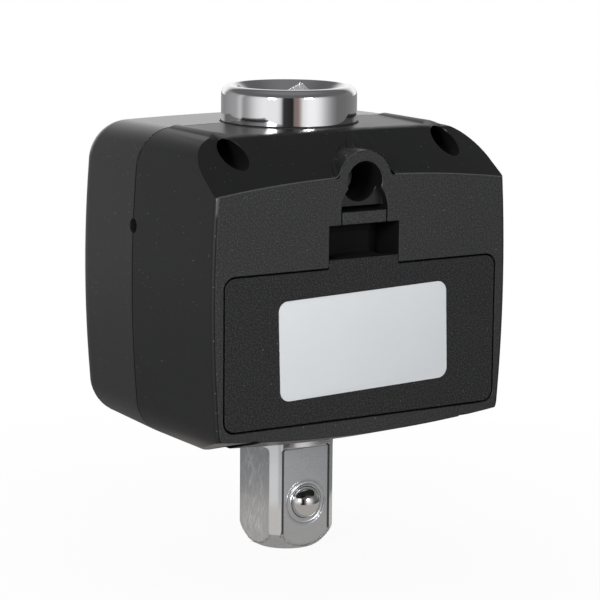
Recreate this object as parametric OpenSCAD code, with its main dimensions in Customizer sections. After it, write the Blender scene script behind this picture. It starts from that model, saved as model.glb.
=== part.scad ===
// Digital torque meter that fits between a square-drive wrench and a socket.
// The drive axis is Z, with the female square on top and the male square below.
// The origin is the centre of the male square's tip face. The display faces -Y and the cells are at +Y.

/* [Drive shaft] */
// Size of the square drive across its flats
square_af = 12.7; // [12:0.05:13.5]
// Growth from the flats to the circle that turns the corners, on the diameter
corner_extra = 3.3; // [2.8:0.1:3.8]
// Length of the male square outside the housing
drive_out = 20.65; // [19:0.05:26]
// Length of the round journal between the housing and the flats of the square
journal_out = 2.4; // [1:0.1:3]
// Height of the rounding turned on the tip
tip_h = 3.2; // [2:0.1:4.5]
// Taken off the radius by that rounding
tip_in = 2.7; // [1.2:0.1:3]
// Fullness of that rounding, from 1 for a cone to 2 for an ellipse
tip_curve = 1.3; // [1:0.1:2]
// Wall of the socket head at the middle of a flat
socket_wall = 5.05; // [4.6:0.05:6]
// Depth of the female square
socket_depth = 16.5; // [14:0.1:18]
// Play of a mating square in the female square, over the whole width
socket_play = 0.2; // [0.1:0.05:0.4]
// Radial width of the head's rim outside the dished mouth
rim_w = 1.96; // [1.9:0.02:2.3]
// Rounding of the rim's outer edge
rim_round = 1.6; // [0.8:0.1:1.8]
// Height of the head above the housing
ring_h = 5.95; // [4:0.05:9]
// Diameter of the thinner section that carries the strain gauges
gauge_d = 14; // [13:0.1:15.5]
// Solid steel left under the female square
web_t = 5; // [3:0.1:6]
// Length of the round journal above the floor of the housing
journal_len = 7; // [6:0.1:9]
// Width across the two flats that carry the strain gauges
gauge_flat = 12.6; // [11.5:0.1:12.8]

/* [Detent ball] */
// Height of the ball's centre above the tip
ball_up = 8.25; // [7.8:0.05:10]
// Diameter of the ball
ball_d = 5.56; // [5.2:0.02:5.8]
// How far the ball stands out of the flat
ball_proud = 2.1; // [1.75:0.05:2.2]
// How far the ball can be pressed in
ball_travel = 1.7; // [0.8:0.05:1.7]
// Length of the relaxed spring behind the ball
ball_spring_len = 6; // [5:0.1:6.5]
// Wire of that spring
ball_spring_wire = 0.5; // [0.4:0.05:0.6]

/* [Cells and cover] */
// Diameter of one cell
cell_d = 10.5; // [10:0.05:11]
// Length of one cell with its button
cell_l = 44.5; // [43.5:0.1:45]
// Space above, between and below the cells
cell_space = 0.43; // [0.3:0.01:0.8]
// Room for the contacts at each end of the cells
contact_room = 2.53; // [2.4:0.01:3.2]
// Gap between a cell and the floor of its bay
cell_seat = 0.2; // [0.1:0.05:0.3]
// Gap between a cell and the cover
cell_top_gap = 0.4; // [0.3:0.05:0.8]
// Thickness of the walls round the cell bay
bay_wall = 1.2; // [1:0.05:1.5]
// Gap between the journal and the back of the bay
bay_gap = 1.2; // [1:0.05:1.6]
// Thickness of the battery cover
cover_t = 2; // [1.8:0.05:2.4]
// Width of the ledge that the cover lies on
cover_ledge = 1.25; // [1.1:0.05:1.6]
// Gap all round the cover
cover_gap = 0.25; // [0.2:0.01:0.35]
// Corner radius of the cover
cover_round = 1.8; // [1:0.1:2.5]
// Height of the cover's lower edge above the bottom of the housing
cover_up = 5.86; // [5.7:0.02:7]
// Height of the cover's upper tab
cover_tab_h = 1.55; // [1.4:0.05:2.2]
// Width of the finger opening
finger_w = 13.5; // [13:0.1:16]
// Height of the finger opening
finger_h = 5.5; // [5:0.1:7]
// Depth of the finger opening
finger_deep = 7; // [6.6:0.1:7.5]
// Distance of each hinge tongue from the middle
tongue_x = 13; // [12.5:0.1:13.4]
// Width of a hinge tongue
tongue_w = 4.6; // [4:0.1:5]
// Length of a hinge tongue
tongue_len = 1.5; // [1.2:0.05:1.6]
// Thickness of a hinge tongue
tongue_t = 0.8; // [0.7:0.05:0.9]

/* [Latch] */
// Width of the latch
latch_w = 8.5; // [7.5:0.1:9.5]
// Height of the latch's finger piece
latch_h = 2.05; // [1.8:0.05:2.4]
// Gap beside the latch
latch_side_gap = 0.2; // [0.15:0.01:0.3]
// Gap above the latch
latch_top_gap = 0.6; // [0.55:0.05:0.9]
// Radius of the foot that the latch turns on
latch_foot_r = 0.7; // [0.6:0.05:0.8]
// Depth of the thumb scoop above the latch
scoop_deep = 1.8; // [1.2:0.1:2.2]

/* [Housing] */
// Wall of the two shells
wall = 2; // [1.8:0.05:2.2]
// Thickness of the side wall beside the cover
side_wall = 2.42; // [2.3:0.01:3]
// How much the sides bulge between the corners
side_bulge = 0.8; // [0.2:0.05:1.2]
// How much the top and bottom bulge between the corners
end_bulge = 0.3; // [0.1:0.05:0.5]
// Corner radius of the housing's outline
corner_r = 7; // [6:0.1:8]
// Corner radius of the outline at the rear
rear_corner_r = 5.6; // [5:0.1:7]
// Draft of each shell, as taken in by its outer end
draft_in = 0.35; // [0.1:0.05:0.5]
// Rounding of the front edges
front_round = 5; // [4:0.1:5.6]
// Rounding of the rear edges
rear_round = 0.8; // [0.4:0.1:1]
// Distance of the split line in front of the drive axis
split_back = 2.2; // [1.6:0.1:3]
// Open seam between the two shells
seam = 0.2; // [0.1:0.05:0.3]
// Slope of the upper rear face from the horizontal, in degrees
top_slope = 35; // [32:0.5:38]
// Height of the upper slope's lower edge under the top of the housing
top_slope_drop = 6.8; // [6.4:0.1:7.4]
// Slope of the lower rear face from the horizontal, in degrees
bottom_slope = 16.7; // [14:0.1:18]
// Height of the lower slope's upper edge over the bottom of the housing
bottom_slope_rise = 2.93; // [2.6:0.01:3.1]
// Crown radius of the two slopes
crown_r = 245; // [200:5:300]

/* [Screws] */
// Radius of the four corner screw wells
well_r = 2.2; // [2.1:0.05:2.4]
// Wall round a corner screw well
well_wall = 0.8; // [0.7:0.05:1]
// Distance of the corner screws from the housing's widest point
screw_in = 8.2; // [8:0.1:9]
// Depth of the upper screws under the top of the housing
screw_top_in = 2.95; // [2.9:0.05:3.4]
// Height of the lower screws over the bottom of the housing
screw_bottom_in = 1.85; // [1.8:0.05:2.3]
// Radius of a corner screw's thread
screw_r = 0.9; // [0.8:0.05:1]
// Radius of a corner screw's head
screw_head_r = 1.95; // [1.8:0.05:2]
// Height of a corner screw's head
screw_head_h = 1.4; // [1.2:0.1:1.8]
// Distance of the screw seats behind the split line
screw_seat_back = 4; // [3:0.1:5]
// Bite of the corner screws in the front shell
screw_bite = 9; // [6:0.5:11]
// Radius of the well of the anchor screw in the arch
arch_well_r = 3.35; // [3.2:0.05:3.5]
// Wall of the arch round that well
arch_wall = 1.75; // [1.5:0.05:1.9]
// Height of the anchor screw over the thumb scoop's lower edge
arch_up = 4.15; // [4:0.05:5]
// Height of the housing over the anchor screw
over_arch = 7.7; // [7.4:0.1:8.4]
// Radius of the anchor screw's thread
anchor_r = 1.5; // [1.3:0.05:1.6]
// Radius of the anchor screw's head
anchor_head_r = 2.75; // [2.5:0.05:2.9]
// Height of the anchor screw's head
anchor_head_h = 1.9; // [1.6:0.1:2.2]
// Depth of the anchor screw in the head's wall
anchor_bite = 3.6; // [2.5:0.1:3.8]

/* [Front] */
// Thickness of the circuit board
board_t = 1.2; // [1:0.1:1.6]
// Free depth between the socket head and the board
board_gap = 4.5; // [4.2:0.1:6]
// Height of the backlight and connectors
backlight_t = 2; // [1.8:0.1:2.4]
// Thickness of the display glass
lcd_t = 2; // [1.6:0.1:2.2]
// Gap between the display glass and the shell
lcd_gap = 0.4; // [0.2:0.05:0.5]
// Width of the display glass
lcd_w = 39; // [37:0.5:39.4]
// Height of the display glass
lcd_h = 17.5; // [16.5:0.1:17.8]
// Width of the visible window
window_w = 34; // [30:0.5:35]
// Height of the visible window
window_h = 13.5; // [12:0.1:14]
// Thickness of the face panel and the lens
panel_t = 0.8; // [0.6:0.05:1]
// Corner radius of the face panel
panel_round = 3; // [2:0.1:4]
// Gap between two keys
key_between = 2.2; // [2:0.1:2.8]
// Height of one key
key_h = 5.4; // [4.8:0.1:6]
// Distance of the outer keys' middles from the sides of the face panel
key_side = 7.6; // [7.3:0.1:7.9]
// How far a key stands out of the panel
key_proud = 0.7; // [0.6:0.05:1]
// Travel of a key
key_travel = 0.4; // [0.25:0.05:0.45]
// Rim that keeps a key behind the shell
key_rim = 0.6; // [0.5:0.05:0.7]
// Play round a key in its hole
key_play = 0.15; // [0.1:0.01:0.2]
// Diameter of an indicator lamp
lamp_d = 3; // [2.6:0.1:3.2]
// Margin between the housing's widest point and the sides of the face panel
panel_side_margin = 6.7; // [6.4:0.1:8]
// Margin between the housing and the ends of the face panel
panel_end_margin = 5.6; // [5.4:0.1:6]
// Depth of the display's middle under the top of the housing
lcd_down = 15.6; // [15.2:0.1:17]
// Height of the keys over the bottom of the housing
key_up = 13.1; // [12:0.1:14]
// Gap between the display glass and the indicator lamps
lamp_down = 3.35; // [2.9:0.05:5]
// Diameter of the buzzer
buzzer_d = 9; // [8:0.1:9.5]
// Diameter of the sound hole on the split line
sound_d = 2.3; // [1.8:0.1:2.6]
// Depth of the sound hole under the top of the housing
sound_down = 16.2; // [15.5:0.1:18]

/* [Hidden] */

$fn = 64;
// Corner radius of small moulded pieces
small_round = 0.4;
// Overrun of every cut past the face that it opens
over = 1;
// Clearance of parts that only lie beside each other
slack = 0.1;
// Radial clearance of the fits that turn, slide or screw
fit_gap = 0.05;
// Radial clearance between the shaft and the shells
shaft_gap = 0.25;

corner_d = square_af + corner_extra;
journal_r = corner_d / 2;
head_r = square_af / 2 + socket_wall;
mouth_r = head_r - rim_w;
dish_h = mouth_r - square_af / 2;
socket_af = square_af + socket_play;
socket_corner_r = journal_r + 0.9 * (mouth_r - journal_r) / 1.44;

// Depths from the drive axis to the rear
bay_back_y = journal_r + bay_gap;
bay_floor_y = bay_back_y + bay_wall;
cell_y = bay_floor_y + cell_seat + cell_d / 2;
cover_y = cell_y + cell_d / 2 + cell_top_gap;
rear_y = cover_y + cover_t;
split_y = -split_back;

// Depths from the drive axis to the front
board_y = -(head_r + board_gap);
board_front_y = board_y - board_t;
lcd_back_y = board_front_y - backlight_t;
lcd_front_y = lcd_back_y - lcd_t;
shell_in_y = lcd_front_y - lcd_gap;
front_y = shell_in_y - wall;

// Widths from the middle
bay_x = cell_l / 2 + contact_room;
cover_x = bay_x + cover_ledge;
body_x = cover_x + cover_gap + side_wall;
screw_x = body_x - screw_in;

// Heights over the tip
body_z0 = drive_out;
cover_z0 = body_z0 + cover_up;
bay_z0 = cover_z0 + cover_ledge;
bay_z1 = bay_z0 + 2 * cell_d + 3 * cell_space;
cover_z1 = bay_z1 + cover_ledge;
lower_cell_z = bay_z0 + cell_space + cell_d / 2;
upper_cell_z = bay_z1 - cell_space - cell_d / 2;
finger_z0 = cover_z1 + cover_tab_h;
finger_z1 = finger_z0 + finger_h;
latch_z1 = finger_z1 + latch_h;
scoop_z = latch_z1 + latch_top_gap;
arch_z = scoop_z + arch_up;
body_z1 = arch_z + over_arch;
mid_z = (body_z0 + body_z1) / 2;
rim_z = body_z1 + ring_h;
socket_z = rim_z - socket_depth;
head_z = socket_z - web_t;
top_screw_z = body_z1 - screw_top_in;
bottom_screw_z = body_z0 + screw_bottom_in;
screw_seat_y = split_y + screw_seat_back;

// Hinge line of the cover, on the outer face at the lower edge of its opening
hinge_y = rear_y;
hinge_z = cover_z0 - cover_gap;
tongue_reach = tongue_len - cover_gap;

// The latch's arm stands near the back of the finger opening
finger_back_y = rear_y - finger_deep;
latch_arm_t = 0.8;
latch_foot_y = finger_back_y + 2 * latch_foot_r;
latch_foot_z = finger_z0 + latch_foot_r / 3;
latch_neck_h = 1.7;
latch_neck_t = 1.3;
latch_flush = 0.05;

// The seals lie in grooves as deep as this
seal_deep = 1;
seal_h = 1.4;
collar_h = 6.2;
lower_seal_z = body_z0 + wall + seal_h;
head_chamfer = 1;
// The head is turned this much smaller, on the radius, inside the housing
head_relief = 0.2;
ball_groove_h = 4;
ball_groove_deep = 1;

// The display, keys and lamps on the front
lcd_z = body_z1 - lcd_down;
key_z = body_z0 + key_up;
lamp_z = lcd_z - lcd_h / 2 - lamp_down - lamp_d / 2;
panel_w = 2 * (body_x - panel_side_margin);
key_pitch = (panel_w - 2 * key_side) / 3;
key_w = key_pitch - key_between;
lamp_x = 1.6 * key_pitch;
panel_h = body_z1 - body_z0 - 2 * panel_end_margin;
lens_lap = 1;
window_round = 1;
key_round = 1;
key_xs = [for (i = [0:3]) (i - 1.5) * key_pitch];
key_flange_t = 0.8;
key_stem_r = 1.5;

// The board behind them, on four posts of the front shell
board_top_gap = 0.3;
board_low_gap = 1.5;
board_side_gap = 0.5;
board_round = 1;
post_in = 1.9;
post_gap = 2.4;
post_r = 1.9;
board_z0 = bottom_screw_z + well_r + well_wall + board_low_gap;
board_z1 = top_screw_z - well_r - well_wall - board_top_gap;
board_w = 2 * (screw_x + well_r + board_side_gap);
post_x = board_w / 2 - post_in;
post_zs = [board_z0 + post_in + board_side_gap, lcd_z - lcd_h / 2 - post_gap];
board_screw_r = 0.8;
board_screw_head_r = 1.7;
board_screw_head_h = 1.2;
switch_w = 4.5;
switch_h = 1.5;
plunger_r = 1.1;
plunger_h = 0.5;
backlight_in = 2;
connector_h = 1.6;
buzzer_x = screw_x - well_r;
buzzer_h = board_gap - small_round;
sound_z = body_z1 - sound_down;

// The label on the cover
label_w = 32.4;
label_h = 16.3;
label_t = 0.15;
label_turn = 1.7;
label_round = 1.7;
label_x = -0.2;
label_z = cover_z0 + 0.51 * (cover_z1 - cover_z0);

// Contacts of the cells
contact_t = 0.4;
contact_w = 8;
button_r = 1.9;
button_h = 1;
contact_x = bay_x - slack;
contact_face_x = contact_x - contact_t;
spring_big_r = 3.4;
spring_small_r = 2.4;
spring_wire = 0.55;
tag_w = 2;
lead_r = 0.45;
lead_gap = 0.3;

// Strain gauges on the flats of the shaft
gauge_w = 5;
gauge_h = 8;
gauge_t = 0.12;
gauge_z = (head_z + bay_z0) / 2;
gauge_lead_r = 0.3;

// Outline of the shells, seen along the depth
corner_steps = 8;
side_steps = 6;
function corner_arc(cx, cz, r, start) =
    [for (i = [0:corner_steps]) let (a = start + 90 * i / corner_steps) [cx + r * cos(a), cz + r * sin(a)]];
function bulged_run(a, b, out, bulge) =
    [for (i = [1:side_steps - 1]) let (s = i / side_steps) a + (b - a) * s + out * 4 * bulge * s * (1 - s)];
function outline(grow, r) =
    let (hx = body_x - side_bulge + grow, hz = (body_z1 - body_z0) / 2 - end_bulge + grow)
    let (cx = hx - r, top = mid_z + hz - r, low = mid_z - hz + r)
    concat(
        corner_arc(cx, top, r, 0), bulged_run([cx, top + r], [-cx, top + r], [0, 1], end_bulge),
        corner_arc(-cx, top, r, 90), bulged_run([-hx, top], [-hx, low], [-1, 0], side_bulge),
        corner_arc(-cx, low, r, 180), bulged_run([-cx, low - r], [cx, low - r], [0, -1], end_bulge),
        corner_arc(cx, low, r, 270), bulged_run([hx, low], [hx, top], [1, 0], side_bulge)
    );

// A thin slice of the shells' outline that ends at depth y
slice_t = 0.01;
module slice(y, grow, r) {
    translate([0, y, 0]) rotate([90, 0, 0]) linear_extrude(slice_t) polygon(outline(grow, r));
}

// A box given by its lowest and highest corners
module box(low, high) {
    translate(low) cube(high - low);
}

// A cylinder along the depth, from y0 to y1
module rod_y(x, z, r, y0, y1) {
    translate([x, y1, z]) rotate([90, 0, 0]) cylinder(r = r, h = y1 - y0);
}

// A cylinder along the width, from x0 to x1
module rod_x(y, z, r, x0, x1) {
    translate([x0, y, z]) rotate([0, 90, 0]) cylinder(r = r, h = x1 - x0);
}

// A ring round the drive axis
module ring(inner, outer, z0, z1) {
    rotate_extrude($fn = 128) translate([inner, z0]) square([outer - inner, z1 - z0]);
}

// A flat rectangle with round corners
module round_rect(w, h, r) {
    square([w - 2 * r, h], center = true);
    square([w, h - 2 * r], center = true);
    for (sx = [-1, 1], sz = [-1, 1]) translate([sx * (w / 2 - r), sz * (h / 2 - r)]) circle(r);
}

// The same rectangle as a plate that stands upright, from y0 to y1
module plate(x, z, w, h, r, y0, y1) {
    translate([x, y1, z]) rotate([90, 0, 0]) linear_extrude(y1 - y0) round_rect(w, h, r);
}

// A thin lead from p along the depth to y and then along the width to x, with a clip at the bend
// and a soldered tag at its end
module lead(p, y, x, r) {
    tag = lead_tag(r);
    rod_y(p[0], p[2], r, min(p[1], y), max(p[1], y));
    rod_x(y, p[2], r, min(p[0], x), max(p[0], x));
    for (end = [p[0], x]) translate([end, y, p[2]]) cube(2 * tag, center = true);
}

// Half the edge of the tags on a lead of radius r
function lead_tag(r) = 1.3 * r;

// Heights of the two battery leads: level with the cells, or just clear of the heads of the board's screws
lead_clear = board_screw_head_r + lead_tag(lead_r) + lead_gap;
lead_zs = [max(lower_cell_z, post_zs[0] + lead_clear), min(upper_cell_z, post_zs[1] - lead_clear)];

// The four corner screw positions, as [x, z]
corner_screws_xz = [for (sx = [-1, 1], z = [top_screw_z, bottom_screw_z]) [sx * screw_x, z]];

// Space under the two crowned slopes of the rear shell, moved in by a wall
module under_slopes(inset) {
    long = 4 * (rear_y - split_y);
    intersection() {
        translate([0, rear_y, body_z1 - top_slope_drop]) rotate([-top_slope, 0, 0])
            translate([0, 0, -crown_r]) rotate([90, 0, 0])
            cylinder(r = crown_r - inset, h = long, center = true, $fn = 360);
        translate([0, rear_y, body_z0 + bottom_slope_rise]) rotate([bottom_slope, 0, 0])
            translate([0, 0, crown_r]) rotate([90, 0, 0])
            cylinder(r = crown_r - inset, h = long, center = true, $fn = 360);
    }
}

// Solid of the rear shell's body, drawn in by inset on all outer sides
module rear_form(inset) {
    end_y = rear_y - inset;
    mouth = inset > 0 ? over : 0;
    hull() {
        slice(split_y + slice_t - mouth, -inset, corner_r - inset);
        for (a = [0:30:90])
            slice(end_y - rear_round * (1 - sin(a)), -inset - draft_in - rear_round * (1 - cos(a)),
                rear_corner_r - inset - rear_round * (1 - cos(a)));
    }
}

// Solid of the front shell's body, with its edges rounded by a fan of slices
module front_form(inset) {
    r = front_round - inset;
    mouth = inset > 0 ? over : 0;
    hull() {
        slice(split_y - seam + mouth, -inset, corner_r - inset);
        for (a = [0:15:90])
            slice(front_y + inset + r * (1 - sin(a)) + slice_t, -inset - draft_in - r * (1 - cos(a)),
                corner_r - inset - r * (1 - cos(a)) * 0.9);
    }
}

// Both shells carry half of each collar that holds the shaft
module shaft_collars() {
    translate([0, 0, body_z1 - collar_h]) cylinder(r = head_r + wall, h = collar_h);
    translate([0, 0, body_z0]) cylinder(r = journal_r + wall, h = collar_h);
}

// The way of the shaft through both shells
module shaft_way() {
    translate([0, 0, head_z - over])
        cylinder(r = head_r + shaft_gap, h = body_z1 - head_z + 2 * over, $fn = 128);
    translate([0, 0, body_z0 - over]) cylinder(r = journal_r + shaft_gap, h = collar_h + 2 * over, $fn = 128);
}

module sound_hole() {
    rod_x(split_y - seam / 2, sound_z, sound_d / 2, body_x - 2 * wall, body_x + over);
}

// The tongues of the cover turn in pockets behind the lip; they only rise as the cover opens
module tongue_slots() {
    clear_r = norm([cover_t, tongue_reach]) + 1.5 * slack;
    lip_y = cover_y + tongue_t + 1.5 * slack;
    for (sx = [-1, 1]) translate([sx * tongue_x, 0, 0]) intersection() {
        rod_x(hinge_y, hinge_z, clear_r, -tongue_w / 2 - slack, tongue_w / 2 + slack);
        box([-tongue_w, hinge_y - 2 * clear_r, hinge_z - tongue_reach - slack],
            [tongue_w, lip_y, hinge_z + clear_r]);
    }
}

module rear_housing() color([0.19, 0.19, 0.2]) {
    finger_x = finger_w / 2;
    slot_x = latch_w / 2 + latch_side_gap;
    difference() {
        union() {
            intersection() {
                union() {
                    rear_form(0);
                    // The wells on top stand a little proud
                    for (sx = [-1, 1]) rod_y(sx * screw_x, top_screw_z, well_r + well_wall, split_y, rear_y);
                }
                under_slopes(0);
            }
            rod_y(0, arch_z, arch_well_r + arch_wall, head_r + shaft_gap, rear_y);
        }
        difference() {
            intersection() {
                rear_form(wall);
                under_slopes(wall);
                box([-body_x, split_y - over, body_z0], [body_x, rear_y, body_z1]);
            }
            // Cell bay, finger opening, hinge slots, wells and collars stand in the hollow
            box([-body_x, bay_back_y, bay_z0 - bay_wall], [body_x, rear_y, bay_z1 + bay_wall]);
            box([-finger_x - bay_wall, finger_back_y - bay_wall, bay_z1],
                [finger_x + bay_wall, rear_y, scoop_z]);
            for (sx = [-1, 1])
                box([sx * tongue_x - tongue_w, cell_y, body_z0], [sx * tongue_x + tongue_w, rear_y, bay_z0]);
            for (p = corner_screws_xz) rod_y(p[0], p[1], well_r + well_wall, split_y, rear_y);
            rod_y(0, arch_z, arch_well_r + bay_wall, head_r + shaft_gap, rear_y);
            shaft_collars();
        }
        // Cell bay and the seat of the cover
        box([-bay_x, bay_floor_y, bay_z0], [bay_x, rear_y + over, bay_z1]);
        plate(0, (cover_z0 + cover_z1) / 2, 2 * (cover_x + cover_gap), cover_z1 - cover_z0 + 2 * cover_gap,
            cover_round + cover_gap, cover_y - slack, rear_y + over);
        tongue_slots();
        // Finger opening, with the latch's slot above it
        box([-finger_x, finger_back_y, bay_z1 + bay_wall], [finger_x, rear_y + over, finger_z1]);
        box([-slot_x, finger_back_y, finger_z1 - over], [slot_x, rear_y + over, scoop_z]);
        rod_y(0, scoop_z, slot_x, rear_y - scoop_deep, rear_y + over);
        // Anchor screw in the arch
        rod_y(0, arch_z, arch_well_r, head_r + wall, rear_y + over);
        rod_y(0, arch_z, anchor_r + shaft_gap, head_r, head_r + wall + over);
        // Corner screws
        for (p = corner_screws_xz) {
            rod_y(p[0], p[1], well_r, screw_seat_y, rear_y + over);
            rod_y(p[0], p[1], screw_r + shaft_gap, split_y - over, screw_seat_y + over);
        }
        shaft_way();
        sound_hole();
        // Tags of the terminal contacts pass through the floor of the bay
        for (z = lead_zs)
            box([-bay_x, bay_back_y - over, z - tag_w / 2 - slack],
                [-bay_x + 2 * contact_t, bay_floor_y + over, z + tag_w / 2 + slack]);
    }
}

module front_housing() color([0.2, 0.2, 0.21]) {
    difference() {
        front_form(0);
        difference() {
            intersection() {
                front_form(wall);
                box([-body_x, front_y, body_z0], [body_x, split_y + over, body_z1]);
            }
            for (p = corner_screws_xz) rod_y(p[0], p[1], well_r + well_wall, front_y, split_y);
            for (sx = [-1, 1], z = post_zs) rod_y(sx * post_x, z, post_r, front_y, board_front_y);
            shaft_collars();
        }
        for (p = corner_screws_xz)
            rod_y(p[0], p[1], screw_r + slack / 4, split_y - screw_bite - over, split_y + over);
        for (sx = [-1, 1], z = post_zs)
            rod_y(sx * post_x, z, board_screw_r + slack / 4, shell_in_y, board_front_y + over);
        plate(0, mid_z, panel_w + 2 * slack, panel_h + 2 * slack, panel_round + slack,
            front_y - over, front_y + panel_t + slack / 2);
        plate(0, lcd_z, window_w, window_h, window_round, front_y - over, shell_in_y + over);
        for (x = key_xs)
            plate(x, key_z, key_w + 2 * key_play, key_h + 2 * key_play, key_round + key_play,
                front_y - over, shell_in_y + over);
        for (sx = [-1, 1]) rod_y(sx * lamp_x, lamp_z, lamp_d / 2 + slack, front_y - over, shell_in_y + over);
        shaft_way();
        sound_hole();
    }
}

module battery_cover() color([0.2, 0.2, 0.21]) {
    shelf_x = latch_w / 2 + latch_side_gap;
    shelf_z0 = bay_z1 + bay_wall + 3 * slack;
    difference() {
        union() {
            plate(0, (cover_z0 + cover_z1) / 2, 2 * cover_x, cover_z1 - cover_z0, cover_round,
                cover_y, rear_y);
            box([-finger_w / 2 + slack, cover_y, cover_z1 - over], [finger_w / 2 - slack, rear_y, finger_z0]);
            // Shelf that carries the foot of the latch
            box([-shelf_x, latch_foot_y - 1.5 * latch_foot_r, shelf_z0],
                [shelf_x, cover_y + over, finger_z0]);
            for (sx = [-1, 1])
                box([sx * tongue_x - tongue_w / 2, cover_y, hinge_z - tongue_reach],
                    [sx * tongue_x + tongue_w / 2, cover_y + tongue_t, cover_z0 + over]);
        }
        rod_x(latch_foot_y, latch_foot_z, latch_foot_r + fit_gap, -body_x, body_x);
    }
}

module battery_latch() color([0.2, 0.2, 0.21]) {
    x = latch_w / 2;
    tab_y = rear_y - latch_flush;
    arm_y = latch_foot_y - latch_arm_t / 2;
    rod_x(latch_foot_y, latch_foot_z, latch_foot_r, -x, x);
    box([-x, arm_y, latch_foot_z], [x, arm_y + latch_arm_t, latch_z1]);
    box([-x, arm_y, finger_z1 - latch_neck_h], [x, arm_y + latch_neck_t, latch_z1]);
    box([-x, arm_y, finger_z1], [x, tab_y, latch_z1]);
}

module rear_label() color([0.82, 0.83, 0.84]) {
    translate([label_x, 0, label_z]) rotate([0, label_turn, 0])
        plate(0, 0, label_w, label_h, label_round, rear_y, rear_y + label_t);
}

// Turned outline of the head, as [radius, height], with a rounded rim
head_low_r = head_r - head_relief;
head_profile = concat(
    [[0, head_z], [head_low_r - head_chamfer, head_z], [head_low_r, head_z + head_chamfer]],
    [[head_low_r, body_z1 - seal_h / 2], [head_r, body_z1 - seal_h / 2]],
    [for (a = [0:10:90]) [head_r - rim_round + rim_round * cos(a), rim_z - rim_round + rim_round * sin(a)]],
    [[0, rim_z]]
);

// Outline of the turned tip, from the axis up to the full radius
tip_profile = concat(
    [[0, 0]],
    [for (t = [0:0.125:1])
        [journal_r - tip_in * (1 - pow(1 - pow(1 - t, tip_curve), 1 / tip_curve)), tip_h * t]]
);

module drive_shaft() color([0.72, 0.72, 0.74]) {
    journal_z1 = body_z0 + wall + journal_len;
    flats_z1 = body_z0 - journal_out;
    difference() {
        union() {
            // Male square, with its corners and tip turned
            intersection() {
                translate([-square_af / 2, -square_af / 2, 0])
                    cube([square_af, square_af, flats_z1 + over]);
                rotate_extrude($fn = 128)
                    polygon(concat(tip_profile, [[journal_r, flats_z1 + over], [0, flats_z1 + over]]));
            }
            translate([0, 0, flats_z1]) cylinder(r = journal_r, h = journal_z1 - flats_z1, $fn = 128);
            // Gauge section with two flats
            intersection() {
                translate([0, 0, journal_z1 - over])
                    cylinder(d = gauge_d, h = head_z - journal_z1 + 2 * over, $fn = 128);
                box([-gauge_flat / 2, -gauge_d, journal_z1 - over], [gauge_flat / 2, gauge_d, head_z + over]);
            }
            rotate_extrude($fn = 128) polygon(head_profile);
        }
        // Female square with its corners relieved, a groove for the wrench's ball and a dished mouth
        intersection() {
            translate([-socket_af / 2, -socket_af / 2, socket_z])
                cube([socket_af, socket_af, socket_depth + over]);
            translate([0, 0, socket_z]) cylinder(r = socket_corner_r, h = socket_depth + over, $fn = 128);
        }
        translate([0, 0, rim_z - ball_up - ball_groove_h / 2])
            cylinder(r = socket_af / 2 + ball_groove_deep, h = ball_groove_h);
        translate([0, 0, rim_z - dish_h])
            cylinder(r1 = mouth_r - dish_h, r2 = mouth_r + slack, h = dish_h + slack, $fn = 128);
        // Bore of the detent ball, closed to a lip at its mouth
        translate([0, square_af / 2, ball_up]) rotate([90, 0, 0]) rotate_extrude() polygon(ball_bore);
        // Thread of the anchor screw
        rod_y(0, arch_z, anchor_r + slack / 4, head_r - anchor_bite, head_r + over);
        // Grooves of the seals
        ring(head_r - seal_deep, head_r + over, body_z1 - seal_h, body_z1);
        ring(journal_r - seal_deep, journal_r + over, lower_seal_z, lower_seal_z + seal_h);
    }
}

// Half outline of the ball's bore, as [radius, depth under the flat]
ball_in = ball_d / 2 - ball_proud;
ball_lip = 0.35;
ball_stake_w = 1.25;
ball_bore_r = ball_d / 2 + fit_gap;
ball_bore_deep = ball_in + ball_d / 2 + ball_spring_len + slack;
function ball_half(depth) = sqrt(pow(ball_d / 2, 2) - pow(ball_in - depth, 2));
ball_bore = [
    [0, -over], [ball_half(0) + ball_stake_w, -over], [ball_half(0) + ball_stake_w, 0],
    [ball_half(0) + fit_gap, slack],
    [ball_half(ball_lip) + fit_gap, ball_lip], [ball_bore_r, ball_lip + slack],
    [ball_bore_r, ball_bore_deep], [0, ball_bore_deep]
];

module detent_ball() color([0.8, 0.8, 0.82]) {
    translate([0, square_af / 2 - ball_in, ball_up]) sphere(d = ball_d);
}

// The spring as it stands with the ball pressed in, so that the ball clears it all the way
module detent_spring() color([0.55, 0.55, 0.57]) {
    coil_r = ball_d / 2 - fit_gap;
    seat_r = coil_r - ball_spring_wire;
    seat_y = sqrt(pow(ball_d / 2, 2) - pow(seat_r, 2));
    top_y = square_af / 2 - ball_in - ball_travel - seat_y - slack;
    low_y = square_af / 2 - ball_bore_deep + fit_gap;
    difference() {
        rod_y(0, ball_up, coil_r, low_y, top_y);
        rod_y(0, ball_up, seat_r, low_y - over, top_y + over);
    }
}

module strain_gauges() color([0.75, 0.55, 0.2]) {
    for (sx = [-1, 1]) translate([sx * (gauge_flat + gauge_t) / 2, 0, gauge_z])
        cube([gauge_t, gauge_w, gauge_h], center = true);
}

module gauge_leads() color([0.7, 0.12, 0.1]) {
    x = gauge_flat / 2 + gauge_t + gauge_lead_r + fit_gap;
    for (sx = [-1, 1], dz = [-1, 1])
        translate([0, 0, gauge_z + dz * gauge_w / 3])
            lead([sx * x, 0, 0], board_y + lead_tag(gauge_lead_r) + fit_gap,
                sx * journal_r / 2, gauge_lead_r);
}

module upper_seal() color([0.08, 0.08, 0.08]) {
    ring(head_r - seal_deep + fit_gap, head_r + shaft_gap - fit_gap,
        body_z1 - seal_h + fit_gap, body_z1 - fit_gap);
}

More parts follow.
